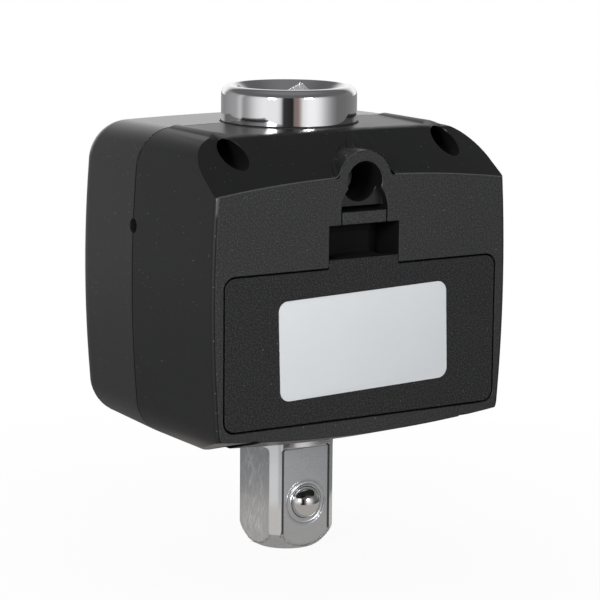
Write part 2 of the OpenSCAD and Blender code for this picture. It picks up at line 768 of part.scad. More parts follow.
module lower_seal() color([0.08, 0.08, 0.08]) {
    ring(journal_r - seal_deep + fit_gap, journal_r + shaft_gap - fit_gap,
        lower_seal_z + fit_gap, lower_seal_z + seal_h - fit_gap);
}

// A pan-head screw along the depth: the head is at the rear, the point is at the front
module screw_y(x, z, r, head_radius, head_h, seat_y, length) {
    difference() {
        union() {
            rod_y(x, z, r, seat_y - length, seat_y + over);
            rod_y(x, z, head_radius, seat_y, seat_y + head_h);
        }
        // Cross recess
        for (turn = [0, 90]) translate([x, seat_y + head_h, z]) rotate([0, turn, 0])
            cube([head_radius * 1.2, head_h, head_radius * 0.3], center = true);
    }
}

module anchor_screw() color([0.6, 0.6, 0.62]) {
    screw_y(0, arch_z, anchor_r, anchor_head_r, anchor_head_h, head_r + wall, wall + anchor_bite - slack);
}

module corner_screws() color([0.12, 0.12, 0.13]) {
    for (p = corner_screws_xz)
        screw_y(p[0], p[1], screw_r, screw_head_r, screw_head_h, screw_seat_y, screw_seat_back + screw_bite);
}

// One cell along the width; the button points to the given side
module cell(z, side) {
    can = cell_l - button_h;
    mid = -side * button_h / 2;
    rod_x(cell_y, z, cell_d / 2, mid - can / 2, mid + can / 2);
    tip = side * (cell_l / 2);
    rod_x(cell_y, z, button_r, min(tip, tip - side * 2 * button_h), max(tip, tip - side * 2 * button_h));
}

module upper_cell() color([0.75, 0.6, 0.2]) {
    cell(upper_cell_z, -1);
}

module lower_cell() color([0.75, 0.6, 0.2]) {
    cell(lower_cell_z, 1);
}

// The springs press on the flat ends of the cells
module contact_springs() color([0.75, 0.75, 0.77]) {
    gap = contact_face_x - cell_l / 2;
    for (s = [[1, upper_cell_z], [-1, lower_cell_z]])
        translate([s[0] * contact_face_x, cell_y, s[1]]) rotate([0, -s[0] * 90, 0]) difference() {
            cylinder(r1 = spring_big_r, r2 = spring_small_r, h = gap - fit_gap);
            translate([0, 0, -over]) cylinder(r = spring_small_r - spring_wire, h = gap + 2 * over);
        }
}

// A contact plate at one end of the bay; the boss meets the button of a cell
module contact_plate(side, z0, z1) {
    box([min(side * contact_face_x, side * contact_x), cell_y - contact_w / 2, z0],
        [max(side * contact_face_x, side * contact_x), cell_y + contact_w / 2, z1]);
}

module contact_boss(side, z) {
    reach = contact_face_x - cell_l / 2 - fit_gap;
    rod_x(cell_y, z, button_r, min(side * contact_face_x, side * (contact_face_x - reach)),
        max(side * contact_face_x, side * (contact_face_x - reach)));
}

module link_contact() color([0.8, 0.8, 0.82]) {
    contact_plate(1, lower_cell_z - contact_w / 2, upper_cell_z + contact_w / 2);
    contact_boss(1, lower_cell_z);
}

module terminal_contacts() color([0.8, 0.8, 0.82]) {
    contact_boss(-1, upper_cell_z);
    for (z = [lower_cell_z, upper_cell_z])
        contact_plate(-1, z - contact_w / 2, z + contact_w / 2);
    // Tags that reach through the floor of the bay
    for (z = lead_zs)
        box([-contact_x, bay_back_y - over, z - tag_w / 2], [-contact_face_x, cell_y, z + tag_w / 2]);
}

module battery_leads() color([0.75, 0.1, 0.1]) {
    x = -contact_x + contact_t / 2;
    for (z = lead_zs)
        lead([x, bay_back_y - over, z], board_y + lead_tag(lead_r) + fit_gap, wall - board_w / 2, lead_r);
}

module main_board() color([0.05, 0.3, 0.15]) {
    difference() {
        plate(0, (board_z0 + board_z1) / 2, board_w, board_z1 - board_z0, board_round,
            board_front_y, board_y);
        for (sx = [-1, 1], z = post_zs)
            rod_y(sx * post_x, z, board_screw_r + slack, board_front_y - over, board_y + over);
    }
}

// Chips on the rear of the board, as [share across, share up, edge]
module board_chips() color([0.07, 0.07, 0.08]) {
    chip_h = 1.2;
    large = 7;
    small = 5;
    chip_shares = [[-0.28, 0.4, large], [0.08, 0.22, small], [-0.3, 0.68, small]];
    for (c = chip_shares)
        plate(c[0] * board_w, board_z0 + c[1] * (board_z1 - board_z0), c[2], c[2], small_round,
            board_y, board_y + chip_h);
}

module board_screws() color([0.65, 0.65, 0.67]) {
    for (sx = [-1, 1], z = post_zs)
        screw_y(sx * post_x, z, board_screw_r, board_screw_head_r, board_screw_head_h,
            board_y, board_t + backlight_t + lcd_t);
}

module buzzer() color([0.06, 0.06, 0.06]) {
    difference() {
        rod_y(buzzer_x, sound_z, buzzer_d / 2, board_y, board_y + buzzer_h);
        rod_y(buzzer_x, sound_z, buzzer_d / 9, board_y + buzzer_h / 2, board_y + buzzer_h + over);
    }
}

module tact_switches() color([0.1, 0.1, 0.1]) {
    for (x = key_xs) {
        plate(x, key_z, switch_w, switch_w, small_round, board_front_y - switch_h, board_front_y);
        rod_y(x, key_z, plunger_r, board_front_y - switch_h - plunger_h, board_front_y);
    }
}

module indicator_lamps() color([0.75, 0.9, 0.75]) {
    for (sx = [-1, 1]) rod_y(sx * lamp_x, lamp_z, lamp_d / 2, front_y + slack, board_front_y);
}

module lcd_backlight() color([0.9, 0.92, 0.9]) {
    plate(0, lcd_z, lcd_w - 2 * backlight_in, lcd_h - 2 * (connector_h + 2 * small_round), small_round,
        lcd_back_y, board_front_y);
}

module lcd_connectors() color([0.85, 0.45, 0.5]) {
    for (sz = [-1, 1])
        plate(0, lcd_z + sz * (lcd_h - connector_h - small_round) / 2, lcd_w - 2 * backlight_in, connector_h,
            small_round, lcd_back_y, board_front_y);
}

module lcd_module() color([0.62, 0.68, 0.6]) {
    plate(0, lcd_z, lcd_w, lcd_h, small_round, lcd_front_y, lcd_back_y);
}

module lcd_lens() color([0.75, 0.8, 0.82, 0.5]) {
    plate(0, lcd_z, window_w + 2 * lens_lap, window_h + 2 * lens_lap, window_round + lens_lap,
        front_y + slack / 2, front_y + panel_t);
}

module face_panel() color([0.12, 0.12, 0.13]) {
    difference() {
        plate(0, mid_z, panel_w, panel_h, panel_round, front_y + slack / 2, front_y + panel_t);
        plate(0, lcd_z, window_w + 2 * (lens_lap + slack), window_h + 2 * (lens_lap + slack),
            window_round + lens_lap + slack, front_y - over, front_y + panel_t + over);
        for (x = key_xs)
            plate(x, key_z, key_w + 2 * key_play, key_h + 2 * key_play, key_round + key_play,
                front_y - over, front_y + panel_t + over);
        for (sx = [-1, 1])
            rod_y(sx * lamp_x, lamp_z, lamp_d / 2 + slack, front_y - over, front_y + panel_t + over);
    }
}

// One key: the cap comes through the shell, the flange keeps it in, the stem reaches the switch
module key(i) {
    x = key_xs[i];
    flange_y = shell_in_y + slack;
    stem_y = board_front_y - switch_h - plunger_h - key_travel - slack;
    plate(x, key_z, key_w, key_h, key_round, front_y - key_proud, flange_y + key_flange_t / 2);
    plate(x, key_z, key_w + 2 * key_rim, key_h + 2 * key_rim, key_round, flange_y, flange_y + key_flange_t);
    rod_y(x, key_z, key_stem_r, flange_y, stem_y);
}

module mode_key() color([0.3, 0.3, 0.32]) {
    key(0);
}

module unit_key() color([0.3, 0.3, 0.32]) {
    key(1);
}

module up_key() color([0.3, 0.3, 0.32]) {
    key(2);
}

module power_key() color([0.6, 0.15, 0.12]) {
    key(3);
}

rear_housing();
front_housing();
battery_cover();
battery_latch();
rear_label();
drive_shaft();
detent_ball();
detent_spring();
strain_gauges();
gauge_leads();
upper_seal();
lower_seal();
anchor_screw();
corner_screws();
upper_cell();
lower_cell();
contact_springs();
link_contact();
terminal_contacts();
battery_leads();
main_board();
board_chips();
board_screws();
buzzer();
tact_switches();
indicator_lamps();
lcd_backlight();
lcd_connectors();
lcd_module();
lcd_lens();
face_panel();
mode_key();
unit_key();
up_key();
power_key();
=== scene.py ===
import math

import bmesh
import bpy
from mathutils import Matrix, Vector


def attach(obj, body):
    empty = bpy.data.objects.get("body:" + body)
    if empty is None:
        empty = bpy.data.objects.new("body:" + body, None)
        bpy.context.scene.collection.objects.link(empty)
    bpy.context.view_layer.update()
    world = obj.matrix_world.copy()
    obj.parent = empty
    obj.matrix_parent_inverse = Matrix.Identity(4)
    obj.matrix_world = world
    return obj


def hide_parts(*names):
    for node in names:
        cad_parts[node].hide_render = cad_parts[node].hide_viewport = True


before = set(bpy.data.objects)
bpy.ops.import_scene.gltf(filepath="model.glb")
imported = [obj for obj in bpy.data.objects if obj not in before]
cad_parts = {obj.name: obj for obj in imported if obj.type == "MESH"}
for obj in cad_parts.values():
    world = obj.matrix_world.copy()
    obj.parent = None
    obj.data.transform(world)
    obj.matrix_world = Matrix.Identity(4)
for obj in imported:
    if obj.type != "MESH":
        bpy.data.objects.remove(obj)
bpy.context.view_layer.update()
bpy.ops.object.select_all(action="DESELECT")
mm = 0.001


# Drive shaft. One piece of alloy steel: a head with a dished female square, a thinner neck for the strain
# gauges, a round journal and the male square below. It is turned, milled and plated; the head is polished
# bright, the square is satin with the marks of sockets, and a screw through the rear shell holds it.
square = 12.7 * mm
corner_radius = 8 * mm
tip_high, tip_in, tip_curve = 3.2 * mm, 2.7 * mm, 1.3
journal_z = 29.65 * mm
neck_radius, neck_z = 7 * mm, 57.3 * mm
head_radius, low_head_radius = 11.4 * mm, 11.2 * mm
seal_radius, seal_z = 10.4 * mm, 71.45 * mm
body_high = 72.85 * mm
mouth_radius, mouth_edge = 9.44 * mm, 0.12 * mm
rim_z = 78.8 * mm
rim_round = 1.6 * mm
dish_radius, dish_depth = 6.44 * mm, 2.3 * mm
socket_half, socket_floor = 6.48 * mm, 62.4 * mm
ball_groove_radius, ball_groove_low, ball_groove_high = 7.45 * mm, 68.55 * mm, 72.55 * mm
flats_z, flat_half = 18.25 * mm, 7.2 * mm
ball_radius, ball_y, ball_z = 2.78 * mm, 5.67 * mm, 8.25 * mm


def pick(piece):
    """Selects the piece alone and makes it active."""
    bpy.ops.object.select_all(action="DESELECT")
    piece.select_set(True)
    bpy.context.view_layer.objects.active = piece


def apply_modifier(piece, kind, **settings):
    """Puts a modifier on the piece, sets it and applies it."""
    pick(piece)
    bpy.ops.object.modifier_add(type=kind)
    modifier = piece.modifiers[-1]
    for name, value in settings.items():
        setattr(modifier, name, value)
    bpy.ops.object.modifier_apply(modifier=modifier.name)


def carve(piece, tool, operation="DIFFERENCE"):
    """Cuts, joins or trims the piece with the tool, and clears the tool away."""
    apply_modifier(piece, "BOOLEAN", object=tool, operation=operation, solver="EXACT")
    bpy.data.objects.remove(tool, do_unlink=True)


def turned(name, profile, steps):
    """A solid of revolution about Z from a profile of (radius, height) that starts and ends on the axis."""
    bpy.ops.mesh.primitive_plane_add(size=mm)
    piece = bpy.context.object
    piece.name = name
    bpy.ops.object.mode_set(mode="EDIT")
    bpy.ops.mesh.select_mode(type="VERT")
    bpy.ops.mesh.merge(type="CENTER")
    bpy.ops.transform.translate(value=(profile[0][0], 0, profile[0][1]))
    for (r0, z0), (r1, z1) in zip(profile, profile[1:]):
        bpy.ops.mesh.extrude_region_move(TRANSFORM_OT_translate={"value": (r1 - r0, 0, z1 - z0)})
    bpy.ops.mesh.select_all(action="SELECT")
    bpy.ops.mesh.spin(steps=steps, angle=2 * math.pi, center=(0, 0, 0), axis=(0, 0, 1))
    bpy.ops.mesh.select_all(action="SELECT")
    bpy.ops.mesh.remove_doubles(threshold=0.002 * mm)
    bpy.ops.mesh.normals_make_consistent(inside=False)
    bpy.ops.object.mode_set(mode="OBJECT")
    return piece


def block(low, high):
    """A box between two corners."""
    low, high = Vector(low), Vector(high)
    bpy.ops.mesh.primitive_cube_add(size=1, location=(low + high) / 2, scale=high - low)
    bpy.ops.object.transform_apply(location=True, rotation=True, scale=True)
    return bpy.context.object


def rod(start, end, radius, vertices=64):
    """A straight rod between two points."""
    start, end = Vector(start), Vector(end)
    along = end - start
    bpy.ops.mesh.primitive_cylinder_add(
        vertices=vertices, radius=radius, depth=along.length, location=(start + end) / 2,
        rotation=along.to_track_quat("Z", "Y").to_euler())
    bpy.ops.object.transform_apply(location=True, rotation=True, scale=True)
    return bpy.context.object


def round_edges(piece, radius, segments, chosen):
    """Rounds the edges of the piece that the test picks by their two ends."""
    pick(piece)
    bpy.ops.object.mode_set(mode="EDIT")
    bpy.ops.mesh.select_mode(type="EDGE")
    bpy.ops.mesh.select_all(action="DESELECT")
    edited = bmesh.from_edit_mesh(piece.data)
    for edge in edited.edges:
        edge.select_set(chosen(edge.verts[0].co, edge.verts[1].co))
    bmesh.update_edit_mesh(piece.data)
    bpy.ops.mesh.bevel(offset=radius, segments=segments, affect="EDGES")
    bpy.ops.object.mode_set(mode="OBJECT")


def smooth(piece, angle=30):
    """Shades the piece smooth, with creases where its faces turn by more than the angle."""
    pick(piece)
    bpy.ops.object.shade_smooth_by_angle(angle=math.radians(angle))


def soften(piece, width, angle=35, segments=2):
    """Breaks the sharp edges of a finished piece, as moulding or tumbling does, and shades it."""
    apply_modifier(piece, "BEVEL", width=width, segments=segments, limit_method="ANGLE",
                   angle_limit=math.radians(angle), use_clamp_overlap=False, miter_outer="MITER_ARC")
    smooth(piece)
    apply_modifier(piece, "WEIGHTED_NORMAL", keep_sharp=True)


tip = [(0, 0)]
rim = []
for step in range(13):
    share = step / 12
    fall = 1 - (1 - (1 - share) ** tip_curve) ** (1 / tip_curve)
    tip.append((corner_radius - tip_in * fall, tip_high * share))
    turn = math.radians(7.5 * step)
    rim.append((head_radius - rim_round * (1 - math.cos(turn)), rim_z - rim_round * (1 - math.sin(turn))))
shaft = turned("shaft", tip + [
    (corner_radius, journal_z), (neck_radius, journal_z), (neck_radius, neck_z), (10.2 * mm, neck_z),
    (low_head_radius, 58.3 * mm), (low_head_radius, seal_z), (seal_radius, seal_z), (seal_radius, body_high),
    (head_radius, body_high)] + rim + [
    (mouth_radius + mouth_edge, rim_z), (mouth_radius, rim_z - 0.1 * mm), (dish_radius, rim_z - dish_depth),
    (dish_radius, socket_floor), (0, socket_floor)], 160)

# Female square with softened corners, and a ring groove for the ball of the wrench
socket = block((-socket_half, -socket_half, 62.3 * mm), (socket_half, socket_half, 81 * mm))
round_edges(socket, 0.45 * mm, 4, lambda a, b: abs(a.z - b.z) > 5 * mm)
carve(shaft, socket)
carve(shaft, rod((0, 0, ball_groove_low), (0, 0, ball_groove_high), ball_groove_radius, 96))

# Flats of the male square: each is milled to a round shoulder under the journal
for side in range(4):
    mill = block((square / 2, -flat_half, -mm), (12 * mm, flat_half, flats_z))
    round_edges(mill, 0.9 * mm, 6, lambda a, b: all(p.z > 10 * mm and p.x < 7 * mm for p in (a, b)))
    mill.data.transform(Matrix.Rotation(side * math.pi / 2, 4, "Z"))
    carve(shaft, mill)

# The lower ends of the flats, where they meet the rounded tip, are softened
round_edges(shaft, 0.4 * mm, 4, lambda a, b: abs(a.z - b.z) < 0.4 * mm and all(
    p.z < 3.6 * mm and abs(max(abs(p.x), abs(p.y)) - square / 2) < 0.002 * mm for p in (a, b)))

# Bore of the ball, with the two rings struck round it to hold the ball in
carve(shaft, rod((0, -3.3 * mm, ball_z), (0, 8 * mm, ball_z), ball_radius, 96))
soften(shaft, 0.09 * mm, 30)
for ring_radius, ring_depth, lift in ((3.95 * mm, 0.12 * mm, 0.04 * mm), (3.38 * mm, 0.48 * mm, 0.24 * mm)):
    bpy.ops.mesh.primitive_torus_add(
        location=(0, square / 2 + lift, ball_z), rotation=(math.pi / 2, 0, 0), major_segments=144,
        minor_segments=24, major_radius=ring_radius, minor_radius=ring_depth)
    bpy.ops.object.transform_apply(location=True, rotation=True, scale=True)
    carve(shaft, bpy.context.object)
smooth(shaft)
apply_modifier(shaft, "WEIGHTED_NORMAL", keep_sharp=True)
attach(shaft, "meter")
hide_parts("drive_shaft")


def node(tree, kind, spot, values=None, **settings):
    """Adds a node to the tree at a spot of the editor's grid, with its settings and its socket values."""
    made = tree.nodes.new(kind)
    made.location = (spot[0] * 200, spot[1] * 200)
    for name, value in settings.items():
        setattr(made, name, value)
    for name, value in (values or {}).items():
        made.inputs[name].default_value = value
    return made


def wire(tree, *pairs):
    """Joins sockets: each pair is (node, output, node, input)."""
    for giver, output, taker, entry in pairs:
        tree.links.new(giver.outputs[output], taker.inputs[entry])


def effect(name, inputs, outputs):
    """An empty shader group with number inputs (name, value) and number outputs."""
    group = bpy.data.node_groups.new(name, "ShaderNodeTree")
    for label, value in inputs:
        group.interface.new_socket(label, in_out="INPUT", socket_type="NodeSocketFloat").default_value = value
    for label in outputs:
        group.interface.new_socket(label, in_out="OUTPUT", socket_type="NodeSocketFloat")
    return group, node(group, "NodeGroupInput", (-5, 0)), node(group, "NodeGroupOutput", (4, 0))


def fresh(name):
    """A new material, its tree and its surface shader."""
    made = bpy.data.materials.new(name)
    made.use_nodes = True
    return made, made.node_tree, made.node_tree.nodes["Principled BSDF"]


# Rub marks: short thin strokes that lean both ways, as a socket leaves them on plating
rub_marks, marks_in, marks_out = effect("rub marks", [("Scale", 900.0), ("Amount", 0.5)], ["Marks"])
marks_place = node(rub_marks, "ShaderNodeTexCoord", (-5, 1))
strokes = []
for lean, seed in ((0.45, 0.0), (-0.35, 7.0)):
    turn = node(rub_marks, "ShaderNodeMapping", (-3, lean), {
        "Rotation": (lean, 0, 0), "Location": (seed, seed, 0), "Scale": (1, 1, 7)}, vector_type="TEXTURE")
    stroke = node(rub_marks, "ShaderNodeTexNoise", (-2, lean), {"Detail": 2.0, "Roughness": 0.6})
    sharp = node(rub_marks, "ShaderNodeMapRange", (-1, lean), {"From Min": 0.52, "From Max": 0.68})
    wire(rub_marks, (marks_place, "Object", turn, "Vector"), (turn, "Vector", stroke, "Vector"),
         (marks_in, "Scale", stroke, "Scale"), (stroke, "Fac", sharp, "Value"))
    strokes.append(sharp)
both = node(rub_marks, "ShaderNodeMath", (0, 0), operation="MAXIMUM")
worn = node(rub_marks, "ShaderNodeMath", (1, 0), operation="MULTIPLY")
wire(rub_marks, (strokes[0], "Result", both, 0), (strokes[1], "Result", both, 1), (both, 0, worn, 0),
     (marks_in, "Amount", worn, 1), (worn, 0, marks_out, "Marks"))

# Fine grain, soft clouds and sparse specks, which every moulded or plated surface here has in some measure
grain_group, grain_in, grain_out = effect(
    "surface grain", [("Grain Scale", 3000.0), ("Cloud Scale", 90.0), ("Speck Scale", 1400.0)],
    ["Grain", "Cloud", "Specks"])
grain_place = node(grain_group, "ShaderNodeTexCoord", (-5, 1))
fine = node(grain_group, "ShaderNodeTexNoise", (-2, 2), {"Detail": 3.0, "Roughness": 0.6})
cloud = node(grain_group, "ShaderNodeTexNoise", (-2, 1), {"Detail": 2.0, "Roughness": 0.5})
speck = node(grain_group, "ShaderNodeTexNoise", (-2, 0), {"Detail": 0.0})
speck_mask = node(grain_group, "ShaderNodeMapRange", (-1, 0), {"From Min": 0.81, "From Max": 0.87})
wire(grain_group, (grain_place, "Object", fine, "Vector"), (grain_place, "Object", cloud, "Vector"),
     (grain_place, "Object", speck, "Vector"), (grain_in, "Grain Scale", fine, "Scale"),
     (grain_in, "Cloud Scale", cloud, "Scale"), (grain_in, "Speck Scale", speck, "Scale"),
     (speck, "Fac", speck_mask, "Value"), (fine, "Fac", grain_out, "Grain"),
     (cloud, "Fac", grain_out, "Cloud"), (speck_mask, "Result", grain_out, "Specks"))

# Satin steel of the square: rub marks on the flats at the sides, which a painted sheen also lightens, a dark
# line along both edges of the flats in front and behind, which is a painted dark reflection, and smoother
# turned corners. The dark line and the corners follow the distance from the axis.
turned_from, line_from = 7.93 * mm, 7.66 * mm
fine_relief = 0.02 * mm
satin, tree, surface = fresh("satin_steel")
place = node(tree, "ShaderNodeTexCoord", (-7, 0))
surface.inputs["Metallic"].default_value = 0.8
parts = node(tree, "ShaderNodeSeparateXYZ", (-6, -1))
flat_place = node(tree, "ShaderNodeCombineXYZ", (-5, -4))
from_axis = node(tree, "ShaderNodeVectorMath", (-4, -4), operation="LENGTH")
turned_part = node(tree, "ShaderNodeMapRange", (-3, -4),
                   {"From Min": turned_from, "From Max": turned_from + 0.03 * mm})
# The dark line along the edges of the front and back flats is a painted dark reflection
line_start = node(tree, "ShaderNodeMapRange", (-3, -5),
                  {"From Min": line_from, "From Max": line_from + 0.06 * mm})
line_end = node(tree, "ShaderNodeMath", (-2, -5), operation="SUBTRACT")
line_low = node(tree, "ShaderNodeMapRange", (-3, -6),
                {"From Min": 3 * mm, "From Max": 3.3 * mm, "To Max": 0.88})
line_side = node(tree, "ShaderNodeMath", (-2, -6), operation="SUBTRACT", use_clamp=True)
line = node(tree, "ShaderNodeMath", (-1, -5), operation="MULTIPLY", use_clamp=True)
dark_reflection_painted = node(tree, "ShaderNodeMix", (-1, 1), {"B": (0.02, 0.02, 0.02, 1)}, data_type="RGBA")
grain = node(tree, "ShaderNodeGroup", (-6, 1), {"Cloud Scale": 240.0}, node_tree=grain_group)
marks = node(tree, "ShaderNodeGroup", (-6, 2), {"Scale": 2400.0, "Amount": 0.75}, node_tree=rub_marks)
rubbed = node(tree, "ShaderNodeMath", (-5, -2), operation="ABSOLUTE")
# Mask of the side flats: it places the rub marks and the painted sheen
rubbed_and_sheen_flat = node(tree, "ShaderNodeMapRange", (-4, -2), {"From Min": 6.2 * mm, "From Max": 6.3 * mm})
rubbed_side = node(tree, "ShaderNodeMath", (-5, -3), operation="ABSOLUTE")
rubbed_middle = node(tree, "ShaderNodeMapRange", (-4, -3), {"From Min": 4.4 * mm, "From Max": 2.4 * mm})
rubbed_place = node(tree, "ShaderNodeMath", (-3, -3), operation="MULTIPLY")
rubbed_marks = node(tree, "ShaderNodeMath", (-3, -2), operation="MULTIPLY")
satin_tone = node(tree, "ShaderNodeMix", (-3, 1), {"B": (1, 1, 1, 1)}, data_type="RGBA")
# The side flats are a lighter tone than the front and back ones: painted sheen
flat_painted_sheen = node(tree, "ShaderNodeMix", (-4, 2),
                 {"A": (0.55, 0.56, 0.575, 1), "B": (0.66, 0.665, 0.68, 1)}, data_type="RGBA")
corner_tone = node(tree, "ShaderNodeMix", (-2, 1), {"B": (0.9, 0.9, 0.9, 1)}, data_type="RGBA")
satin_rough = node(tree, "ShaderNodeMapRange", (-3, 0), {"To Min": 0.2, "To Max": 0.34})
turned_rough = node(tree, "ShaderNodeMix", (-2, 0), {"B": 0.09}, data_type="FLOAT")
bump = node(tree, "ShaderNodeBump", (-2, -3), {"Strength": 0.2, "Distance": fine_relief})
wire(tree, (place, "Object", parts, "Vector"), (parts, "X", flat_place, "X"), (parts, "Y", flat_place, "Y"),
     (flat_place, "Vector", from_axis, 0), (from_axis, "Value", turned_part, "Value"),
     (parts, "X", rubbed, 0), (rubbed, 0, rubbed_and_sheen_flat, "Value"),
     (parts, "Y", rubbed_side, 0), (rubbed_side, 0, rubbed_middle, "Value"),
     (rubbed_and_sheen_flat, "Result", rubbed_place, 0), (rubbed_middle, "Result", rubbed_place, 1),
     (rubbed_place, 0, rubbed_marks, 0), (marks, "Marks", rubbed_marks, 1),
     (rubbed_and_sheen_flat, "Result", flat_painted_sheen, "Factor"), (flat_painted_sheen, "Result", satin_tone, "A"),
     (rubbed_marks, 0, satin_tone, "Factor"), (satin_tone, "Result", corner_tone, "A"),
     (turned_part, "Result", corner_tone, "Factor"), (corner_tone, "Result", dark_reflection_painted, "A"),
     (from_axis, "Value", line_start, "Value"), (line_start, "Result", line_end, 0),
     (turned_part, "Result", line_end, 1), (line_end, 0, line, 0), (parts, "Z", line_low, "Value"),
     (line_low, "Result", line_side, 0), (rubbed_and_sheen_flat, "Result", line_side, 1), (line_side, 0, line, 1),
     (line, 0, dark_reflection_painted, "Factor"), (dark_reflection_painted, "Result", surface, "Base Color"),
     (grain, "Cloud", satin_rough, "Value"), (satin_rough, "Result", turned_rough, "A"),
     (turned_part, "Result", turned_rough, "Factor"), (turned_rough, "Result", surface, "Roughness"),
     (rubbed_marks, 0, bump, "Height"), (bump, "Normal", surface, "Normal"))


def plain(name, colour, rough, metal=0.0, vary=0.2, grain_size=0.3 * mm, depth=0.3, **levels):
    """A material whose colour and gloss drift softly over a fine grain; levels are further shader values."""
    made, tree, surface = fresh(name)
    surface.inputs["Metallic"].default_value = metal
    for level, value in levels.items():
        surface.inputs[level.replace("_", " ")].default_value = value
    grain = node(tree, "ShaderNodeGroup", (-6, 1), {"Grain Scale": 1 / grain_size}, node_tree=grain_group)
    tone = node(tree, "ShaderNodeMix", (-3, 1),
                {"A": (*[part * (1 - vary) for part in colour], 1),
                 "B": (*[min(1, part * (1 + vary)) for part in colour], 1)}, data_type="RGBA")
    gloss = node(tree, "ShaderNodeMapRange", (-3, 0),
                 {"To Min": rough * 0.85, "To Max": min(1, rough * 1.15)})
    bump = node(tree, "ShaderNodeBump", (-2, -1), {"Strength": depth, "Distance": fine_relief})
    wire(tree, (grain, "Cloud", tone, "Factor"), (tone, "Result", surface, "Base Color"),
         (grain, "Grain", gloss, "Value"), (gloss, "Result", surface, "Roughness"),
         (grain, "Grain", bump, "Height"), (bump, "Normal", surface, "Normal"))
    return made


# Bright plating on the head and the part inside the housing; the walls of the female square are broached
for finish in (
        plain("bright_plating", (0.84, 0.835, 0.84), 0.055, 1.0, vary=0.01, depth=0.01), satin,
        plain("broached_steel", (0.66, 0.66, 0.67), 0.3, 0.55, vary=0.1, grain_size=0.15 * mm),
        plain("turned_dish", (0.78, 0.78, 0.785), 0.17, 1.0, vary=0.03, depth=0.03)):
    shaft.data.materials.append(finish)
for face in shaft.data.polygons:
    height, from_middle = face.center.z, face.center.xy.length
    if height < 29.5 * mm:
        face.material_index = 1
    elif abs(face.normal.z) < 0.1 and from_middle < 9.1 * mm and height > 62.5 * mm:
        face.material_index = 2
    elif 0.3 < face.normal.z < 0.95 and from_middle < mouth_radius and height > 75 * mm:
        face.material_index = 3


# Detent ball. A hardened and polished steel ball. A small spring in the same bore pushes it out, and the
# struck rings keep it in.
half_circle = [(0, -ball_radius)]
for step in range(1, 32):
    turn = math.radians(-90 + 180 * step / 32)
    half_circle.append((ball_radius * math.cos(turn), ball_radius * math.sin(turn)))
half_circle.append((0, ball_radius))
ball = turned("ball", half_circle, 64)
ball.data.transform(Matrix.Translation((0, ball_y, ball_z)))
bpy.ops.object.shade_smooth()
ball.data.materials.append(plain("polished_ball", (0.76, 0.75, 0.74), 0.035, 1.0, vary=0.03, depth=0.02))
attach(ball, "ball")
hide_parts("detent_ball")


def dress(made, *names):
    """Gives the CAD nodes of those names a material."""
    for name in names:
        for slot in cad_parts[name].material_slots:
            slot.material = made


dress(plain("spring_steel", (0.5, 0.5, 0.52), 0.35, 1.0), "detent_spring")


# Strain gauges and seals. Two foil gauges are bonded to the neck of the shaft, with thin insulated leads
# soldered to them; two rubber rings sit in the shaft's grooves and seal it in the shells.
dress(plain("gauge_foil", (0.6, 0.42, 0.15), 0.4, 0.6), "strain_gauges")
dress(plain("red_insulation", (0.5, 0.03, 0.02), 0.45), "gauge_leads", "battery_leads")
dress(plain("seal_rubber", (0.02, 0.02, 0.02), 0.6), "upper_seal", "lower_seal")


# Front shell. Moulded black plastic with a satin skin, widely rounded in front; it carries the board, the
# display and the keys. It meets the rear shell at the split line, and four corner screws pull them together.
split_y, seam = -2.2 * mm, 0.2 * mm
front_y, wall = -23.5 * mm, 2 * mm
shell_in_y, window_in_y, outside_y = -21.5 * mm, -20 * mm, -25 * mm
mid_z = 46.75 * mm
edge_draft = 0.35 * mm
split_corner = 7 * mm
screw_x, upper_screw_z, lower_screw_z = 20.5 * mm, 69.9 * mm, 22.5 * mm
wells = [(x, z) for x in (-screw_x, screw_x) for z in (upper_screw_z, lower_screw_z)]
boss_radius = 3 * mm
lcd_z = 57.25 * mm
key_z = 33.75 * mm
key_xs = [-14.4 * mm, -4.8 * mm, 4.8 * mm, 14.4 * mm]
lamp_x, lamp_z = 15.36 * mm, 43.65 * mm
posts = [(side * 21.3 * mm, z) for side in (-1, 1) for z in (29.4 * mm, 46.1 * mm)]
post_radius, board_front_y = 1.9 * mm, -17.1 * mm
sound_z = 56.65 * mm
head_bore = (56.3 * mm, 76 * mm, 11.65 * mm)
journal_bore = (18 * mm, 28.85 * mm, 8.25 * mm)
head_collar = (66.65 * mm, 76 * mm, 13.4 * mm)
journal_collar = (18 * mm, 26.85 * mm, 10 * mm)


def outline(grow, radius):
    """The shells' outline seen along the depth, as (x, z): round corners, joined by bulged runs."""
    half_x, half_z = 27.9 * mm + grow, 25.8 * mm + grow
    flat_bulge, side_bulge = 0.3 * mm, 0.8 * mm
    corners = []
    for quarter, (side_x, side_z) in enumerate([(1, 1), (-1, 1), (-1, -1), (1, -1)]):
        x, z = side_x * (half_x - radius), mid_z + side_z * (half_z - radius)
        turns = [math.radians(90 * quarter + 7.5 * step) for step in range(13)]
        corners.append([(x + radius * math.cos(turn), z + radius * math.sin(turn)) for turn in turns])
    points = []
    for quarter, (out, bulge) in enumerate([
            ((0, 1), flat_bulge), ((-1, 0), side_bulge), ((0, -1), flat_bulge), ((1, 0), side_bulge)]):
        points += corners[quarter]
        (x0, z0), (x1, z1) = corners[quarter][-1], corners[(quarter + 1) % 4][0]
        for step in range(1, 12):
            share = step / 12
            rise = 4 * bulge * share * (1 - share)
            points.append((x0 + (x1 - x0) * share + out[0] * rise, z0 + (z1 - z0) * share + out[1] * rise))
    return points


